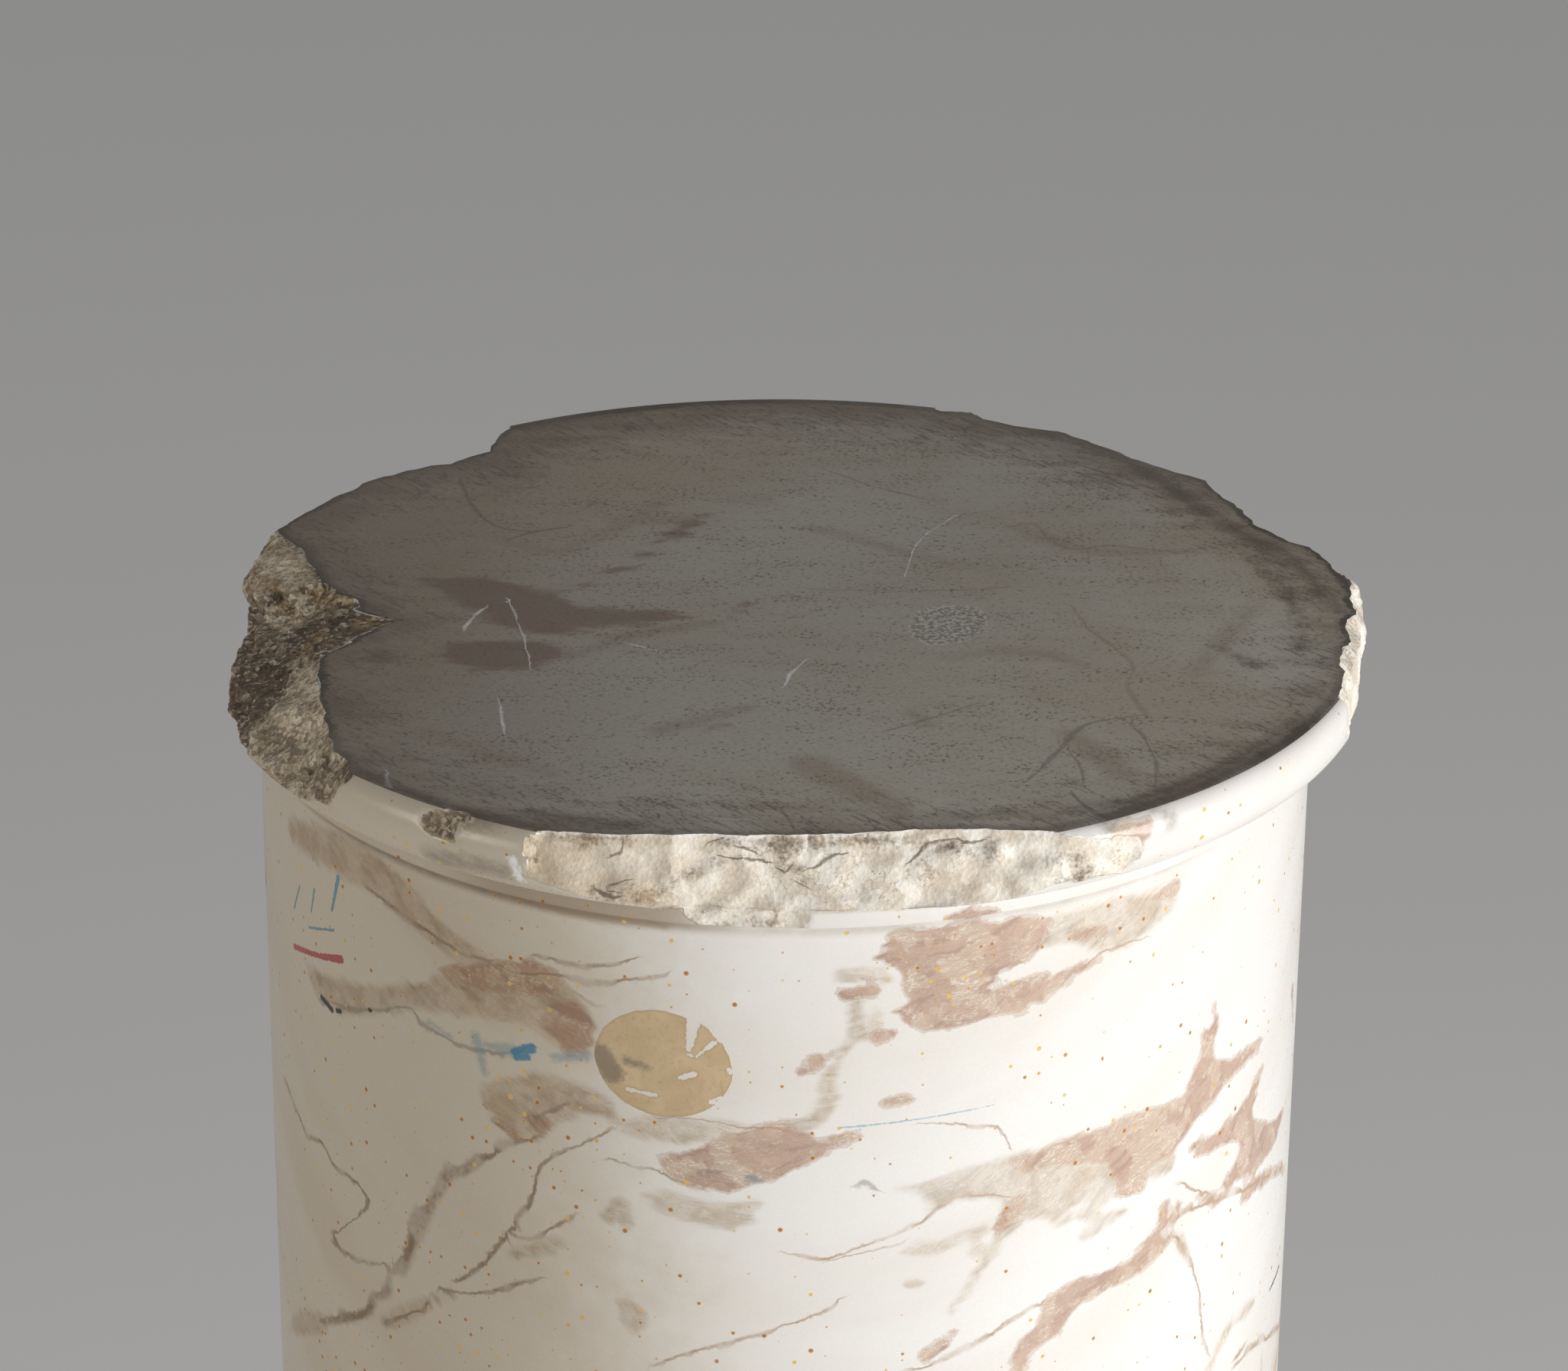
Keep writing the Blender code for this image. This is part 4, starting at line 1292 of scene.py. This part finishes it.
        # Veins: the drawn ones, and others like them that follow the girth where the photograph shows none
        along_girth = graph.vector("MULTIPLY", self.place, (0.6, 0.6, 1.0))
        wild_line = graph.line(graph.noise(along_girth, VEIN_SIZE, 3.0, 0.45), 0.5, 0.008)
        wild_line = graph.multiply(wild_line, graph.ramp(self.cloud, 0.38, 0.55, 0.1, 0.8))
        veins = graph.most(*self.lines[:3], graph.multiply(wild_line, self.hidden))
        veins = graph.multiply(veins, graph.ramp(self.blotch, 0.34, 0.6, 0.32, 0.97))
        marble = graph.mix(veins, marble, vein_colour)
        marble = graph.mix(graph.multiply(self.lines[3], 0.6), marble, (0.27, 0.24, 0.21, 1))
        # The left side's stain and painted shade over the marble
        return self.stained(graph.vector("MULTIPLY", marble, self.left_stain_and_shade))

    def stained(self, marble):
        """Dirt and painted shade in the creases of the collar, stains, fresh bruises and specks of rust."""
        graph = self.graph
        # Dirt and painted shade in the collar's two creases: shade along the whole girth, more dirt towards
        # the left
        bead_crease = graph.line(self.drop, BEAD_CREASE, BEAD_CREASE_WIDTH)
        creases = graph.most(bead_crease, graph.line(self.drop, NECK_CREASE, NECK_CREASE_WIDTH))
        crease_dirt_and_shade = graph.weighted(self.left, 0.62, graph.ramp(self.blotch, 0.2, 0.7, 0.10, 0.34))
        fillet = graph.multiply(graph.ramp(self.drop, 19.5, 21.0), graph.ramp(self.drop, 30.0, 26.5))
        stain_reach = graph.multiply(graph.ramp(self.x, -98.0, -72.0), graph.ramp(self.x, -8.0, -34.0))
        fillet_stain = graph.multiply(fillet, graph.multiply(stain_reach, 0.75))
        marble = graph.mix(fillet_stain, marble, (0.37, 0.285, 0.195, 1))
        marble = graph.mix(graph.multiply(creases, crease_dirt_and_shade), marble, (0.22, 0.155, 0.095, 1))
        marble = graph.mix(graph.multiply(self.dirt_mark, 0.7), marble, (0.24, 0.185, 0.125, 1))
        marble = graph.mix(self.pale_mark, marble, (0.86, 0.85, 0.82, 1))

        # Specks of rust: one to a cell, where its chance and what the drawings want come to more than one
        flat_place = graph.mix(self.on_top, self.wrapped, self.place)
        distance, (chance, tint, hue) = graph.cells(flat_place, SPECK_SIZE, "2D")
        wanted = graph.weighted(self.left, 0.20, graph.weighted(self.rust_mark, 0.55, 0.16))
        likely = graph.add(chance, wanted)
        size = graph.multiply(graph.ramp(likely, 0.98, 1.12), graph.ramp(tint, 0.3, 1.0, 0.07, 0.175))
        size = graph.multiply(size, graph.math("GREATER_THAN", likely, 1.0))
        inside = graph.math("SUBTRACT", size, distance)
        present = graph.math("GREATER_THAN", size, 0.01)
        self.speck = graph.multiply(graph.ramp(inside, -0.035, 0.03), present)
        core = graph.ramp(inside, 0.01, 0.07)
        rust_colour = graph.mix(core, (0.68, 0.36, 0.07, 1), (0.34, 0.12, 0.02, 1))
        rust_colour = graph.mix(graph.ramp(hue, 0.5, 0.7), rust_colour, (0.74, 0.47, 0.12, 1))
        return graph.mix(graph.multiply(self.speck, 0.88), marble, rust_colour)

    def bed(self):
        """Honed bed under its dirt, with painted light that brightens it towards the key lamp."""
        graph = self.graph
        clouded = graph.ramp(graph.add(self.cloud, graph.centred(self.blotch, 0.25)), 0.36, 0.66)
        bed = graph.mix(clouded, (0.395, 0.37, 0.31, 1), (0.34, 0.29, 0.215, 1))
        bed = graph.mix(graph.ramp(self.x, -20.0, -140.0, 0.0, 0.85), bed, (0.225, 0.18, 0.125, 1))
        soft = graph.centred(self.blotch, 3.0)
        brown = graph.ramp(graph.add(self.beige_level, soft), -1.6, 1.6, 0.0, 0.65)
        bed = graph.mix(brown, bed, (0.26, 0.21, 0.15, 1))
        uneven = graph.add(self.push, graph.centred(self.blotch, 4.5))
        mauve = graph.ramp(graph.add(self.mauve_level, uneven), -1.0, 1.6, 0.0, 0.82)
        bed = graph.mix(mauve, bed, (0.18, 0.12, 0.082, 1))
        scratched = graph.most(*self.lines[:2])
        bed = graph.mix(graph.multiply(scratched, 0.6), bed, (0.12, 0.10, 0.075, 1))
        bed = graph.mix(graph.multiply(self.lines[2], 0.5), bed, (0.22, 0.165, 0.115, 1))
        bed = graph.mix(graph.multiply(self.lines[3], 0.8), bed, (0.78, 0.77, 0.74, 1))

        # Dirt towards the rim, more of it at the back, with slanting scuffs and a ragged crust at the edge
        rim_dirt = graph.add(graph.centred(self.blotch, 1.4), graph.ramp(self.inset, 48.0, -2.0))
        rim_dirt = graph.add(rim_dirt, graph.ramp(self.y, 10.0, 150.0, -0.16, 0.24))
        along_scuffs = graph.multiply(graph.weighted(self.y, -0.45, self.x), 0.12)
        across_scuffs = graph.multiply(graph.add(self.y, self.x), 0.45)
        scuff_place = graph.join(along_scuffs, across_scuffs, 0.0)
        scuffs = graph.line(graph.noise(scuff_place, SCUFF_SIZE, 2.0), 0.5, 0.03)
        worn = graph.ramp(graph.weighted(self.fleck, 1.6, rim_dirt), 0.0, 0.9, 0.0, 0.8)
        scuffs = graph.multiply(scuffs, worn)
        bed = graph.mix(graph.ramp(rim_dirt, 0.3, 1.3, 0.0, 0.8), bed, (0.17, 0.13, 0.085, 1))
        bed = graph.mix(scuffs, bed, (0.11, 0.09, 0.065, 1))
        ragged = graph.weighted(self.fleck, 6.0, graph.weighted(self.push, 2.6, self.inset))
        crust = graph.multiply(graph.ramp(ragged, 2.8, 0.8), graph.ramp(self.cloud, 0.40, 0.60, 0.35, 1.0))
        bed = graph.mix(crust, bed, (0.065, 0.05, 0.032, 1))
        flecks = graph.ramp(graph.weighted(self.blotch, 0.35, self.grain), 0.77, 0.84, 0.0, 0.8)
        bed = graph.mix(flecks, bed, (0.14, 0.115, 0.085, 1))
        bed = graph.vector("SCALE", bed, scale=graph.ramp(self.grain, 0.3, 0.7, 1.09, 0.92))
        # Painted light: the bed is brightened towards the key lamp at the front right
        painted_light_run = graph.weighted(self.y, -0.8, self.x)
        bed = graph.vector("SCALE", bed, scale=graph.ramp(painted_light_run, 0.0, 170.0, 1.0, 1.20))
        bed = graph.mix(graph.multiply(self.dirt_mark, 0.75), bed, (0.095, 0.07, 0.042, 1))
        bruise = graph.mix(graph.ramp(self.grain, 0.42, 0.6), (0.20, 0.17, 0.13, 1), (0.60, 0.57, 0.51, 1))
        bed = graph.mix(graph.multiply(self.pale_mark, 0.8), bed, bruise)
        return graph.mix(graph.multiply(self.speck, 0.45), bed, (0.16, 0.12, 0.08, 1))

    def rough(self):
        """Broken stone: creamy where it is fresh, brown where it is dirty, with crystals of varied tone and
        painted glints.
        """
        graph = self.graph
        shaded = graph.ramp(self.blotch, 0.38, 0.64)
        fresh = graph.mix(shaded, (0.86, 0.81, 0.72, 1), (0.72, 0.625, 0.50, 1))
        # Painted shade and stain: the fresh broken stone darkens towards the left
        fresh = graph.vector("MULTIPLY", fresh, self.left_stain_and_shade)
        grime = graph.weighted(self.fleck, 0.9, graph.add(self.soil, graph.centred(self.blotch, 0.8)))
        grime = graph.weighted(self.dirt_mark, 0.55, grime)
        grime = graph.weighted(self.pale_mark, -0.40, grime)
        stone = graph.mix(graph.ramp(grime, 0.15, 1.0), fresh, (0.15, 0.105, 0.06, 1))
        stone = graph.mix(graph.multiply(self.rust_mark, 0.5), stone, (0.44, 0.27, 0.11, 1))
        drawn_cracks = graph.multiply(graph.most(*self.lines[:2]), 0.85)
        fine_cracks = graph.line(self.blotch, 0.52, 0.009)
        fine_cracks = graph.multiply(fine_cracks, graph.ramp(self.cloud, 0.44, 0.56, 0.0, 0.6))
        stone = graph.mix(graph.most(drawn_cracks, fine_cracks), stone, (0.16, 0.115, 0.07, 1))
        soiled = graph.ramp(self.soil, 0.1, 0.8, 0.10, 1.0)
        facet_tone = graph.between(soiled, 1.0, graph.ramp(self.sparkle, 0.1, 0.9, 0.55, 1.55))
        stone = graph.vector("SCALE", stone, scale=facet_tone)
        # Painted glints: bright specks standing in for light caught by crystal faces on the dirtier breaks
        glint = graph.multiply(graph.ramp(self.sparkle, 0.76, 0.86), graph.ramp(self.grain, 0.46, 0.54))
        glint = graph.multiply(glint, graph.weighted(self.pale_mark, 0.35, graph.multiply(soiled, 0.45)))
        stone = graph.mix(glint, stone, (0.86, 0.81, 0.72, 1))
        bruised = graph.ramp(graph.weighted(self.push, 1.6, self.drop), 0.9, 0.1)
        bruised = graph.multiply(bruised, graph.ramp(self.soil, 0.4, 0.2))
        return graph.mix(graph.multiply(bruised, 0.6), stone, (0.88, 0.87, 0.84, 1))

    def painted(self, below, strokes, colour, strength, softness=0.12):
        """Brush strokes or a stain over a colour."""
        graph = self.graph
        depth = graph.weighted(self.fleck, 0.9 + 2.2 * softness, self.strokes.deepest(strokes))
        return graph.mix(graph.ramp(depth, -softness, softness, 0.0, strength), below, colour)

    def marked(self, marble):
        """Paint, stains and the paper remnant over the marble."""
        graph = self.graph
        marble = self.painted(marble, BLUE_STAINS, (0.16, 0.27, 0.30, 1), 0.52, 1.1)
        marble = self.painted(marble, BLUE_STROKES, (0.03, 0.20, 0.33, 1), 0.85, 0.4)
        marble = self.painted(marble, BLUE_LINE, (0.20, 0.42, 0.52, 1), 0.7)
        marble = self.painted(marble, TEAL_STROKES, (0.06, 0.24, 0.28, 1), 0.8)
        marble = self.painted(marble, RED_STROKES, (0.38, 0.05, 0.05, 1), 0.92)
        marble = self.painted(marble, BLACK_STROKES, (0.02, 0.025, 0.025, 1), 0.95, 0.25)
        paper = paper_depth(graph, self.wrapped, graph.centred(self.blotch, 0.10))
        bites = graph.weighted(self.push, 0.7, self.strokes.deepest(PAPER_BITES))
        bites = graph.weighted(self.fleck, 1.8, bites)
        paper = graph.math("MINIMUM", paper, graph.multiply(bites, -1.0))
        self.paper = graph.ramp(paper, -0.06, 0.06)
        tan = graph.mix(graph.ramp(self.blotch, 0.3, 0.7), (0.60, 0.455, 0.275, 1), (0.52, 0.385, 0.22, 1))
        tan = graph.mix(graph.ramp(self.grain, 0.5, 0.8), tan, (0.44, 0.31, 0.17, 1))
        stain = graph.weighted(self.fleck, 2.7, self.strokes.deepest(PAPER_STAINS))
        tan = graph.mix(graph.ramp(stain, -1.2, 1.2, 0.0, 0.7), tan, (0.18, 0.15, 0.11, 1))
        tan = graph.mix(graph.ramp(paper, 0.9, 0.1, 0.0, 0.25), tan, (0.36, 0.25, 0.13, 1))
        return graph.mix(self.paper, marble, tan)

    def gloss(self):
        """Roughness: polished shaft, honed bed, rough breaks and dull paper."""
        graph = self.graph
        polish = graph.weighted(self.beige, 0.10, graph.ramp(self.grain, 0.3, 0.7, 0.24, 0.29))
        polish = graph.between(self.paper, polish, 0.75)
        polish = graph.between(self.on_top, polish, 0.46)
        return graph.between(self.broken, polish, 0.58)

    def relief(self):
        """Relief too fine for the mesh, in millimetres."""
        graph = self.graph
        roughness = graph.multiply(self.broken, graph.ramp(self.soil, 0.0, 0.9, 0.22, 0.75))
        height = graph.multiply(graph.weighted(self.crystal, 0.6, self.grain), roughness)
        height = graph.weighted(self.paper, 0.08, height)
        return graph.weighted(graph.multiply(self.on_top, self.grain), 0.05, height)


def stone_material():
    """Polished marble with its veins, the dirty bed, the broken faces and the marks."""
    material = bpy.data.materials.new("veined_marble")
    material.use_nodes = True
    graph = Graph(material.node_tree)
    shader = material.node_tree.nodes["Principled BSDF"]
    stone = Stone(graph)
    marble = stone.marked(stone.polished())
    colour = graph.mix(stone.on_top, marble, stone.bed())
    colour = graph.mix(stone.broken, colour, stone.rough())
    graph.tree.links.new(colour, shader.inputs["Base Color"])
    graph.tree.links.new(stone.gloss(), shader.inputs["Roughness"])
    bump = graph.node("ShaderNodeBump", {"Height": stone.relief(), "Strength": 1.0, "Distance": 0.001})
    graph.tree.links.new(bump.outputs["Normal"], shader.inputs["Normal"])
    return material


# Half the floor's side and its gap below the column, and how far below the bed the lamps aim, in metres
FLOOR_HALF = 20.0
FLOOR_GAP = 0.0005
AIM_DROP = 0.12


def plain_material(name, colour, roughness):
    """Even matt finish."""
    material = bpy.data.materials.new(name)
    material.use_nodes = True
    shader = material.node_tree.nodes["Principled BSDF"]
    shader.inputs["Base Color"].default_value = colour
    shader.inputs["Roughness"].default_value = roughness
    return material


def floor_object():
    """Plain pale floor, wide enough to fill the view."""
    corners = [(x * FLOOR_HALF, y * FLOOR_HALF, 0) for x, y in ((-1, -1), (1, -1), (1, 1), (-1, 1))]
    mesh = bpy.data.meshes.new("studio_floor")
    mesh.from_pydata(corners, [], [(0, 1, 2, 3)])
    mesh.materials.append(plain_material("floor_paint", (0.84, 0.83, 0.81, 1), 0.8))
    floor = bpy.data.objects.new("studio_floor", mesh)
    bpy.context.scene.collection.objects.link(floor)
    floor.location.z = -FLOOR_GAP
    return floor


def soft_light(name, azimuth, distance, height, size, power, colour=(1, 1, 1)):
    """Square lamp that faces the head of the column from an azimuth."""
    lamp = bpy.data.lights.new(name, "AREA")
    lamp.shape = "SQUARE"
    lamp.size = size
    lamp.energy = power
    lamp.color = colour
    thing = bpy.data.objects.new(name, lamp)
    bpy.context.scene.collection.objects.link(thing)
    turn = math.radians(azimuth)
    thing.location = (distance * math.sin(turn), -distance * math.cos(turn), height)
    aim = Vector((0, 0, HEIGHT - AIM_DROP)) - thing.location
    thing.rotation_euler = aim.to_track_quat("-Z", "Y").to_euler()
    thing.visible_camera = False
    return thing


def studio():
    """Soft lights and a dim even sky."""
    soft_light("key_light", azimuth=56, distance=2.2, height=1.15, size=1.2, power=46)
    warm = (1, 0.95, 0.88)
    soft_light("fill_light", azimuth=-62, distance=2.2, height=1.2, size=0.9, power=10, colour=warm)
    world = bpy.data.worlds.new("studio_sky")
    world.use_nodes = True
    world.node_tree.nodes["Background"].inputs["Color"].default_value = (0.29, 0.29, 0.295, 1)
    bpy.context.scene.world = world
    bpy.context.scene.view_settings.view_transform = "Standard"


def photo_camera():
    """Camera at the photograph's viewing angle."""
    lens = bpy.data.cameras.new("photo_camera")
    lens.sensor_fit = "HORIZONTAL"
    lens.sensor_width = SENSOR_WIDTH
    lens.lens = LENS_PIXELS * SENSOR_WIDTH / PICTURE_WIDTH
    camera = bpy.data.objects.new("photo_camera", lens)
    camera.location = CAMERA_PLACE
    camera.rotation_euler = camera_turn().to_euler()
    bpy.context.scene.collection.objects.link(camera)
    bpy.context.scene.camera = camera


photo_camera()
studio()
floor_object()
stone = column_object()
stone.data.materials.append(stone_material())
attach(stone, "root")
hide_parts("column_shaft")
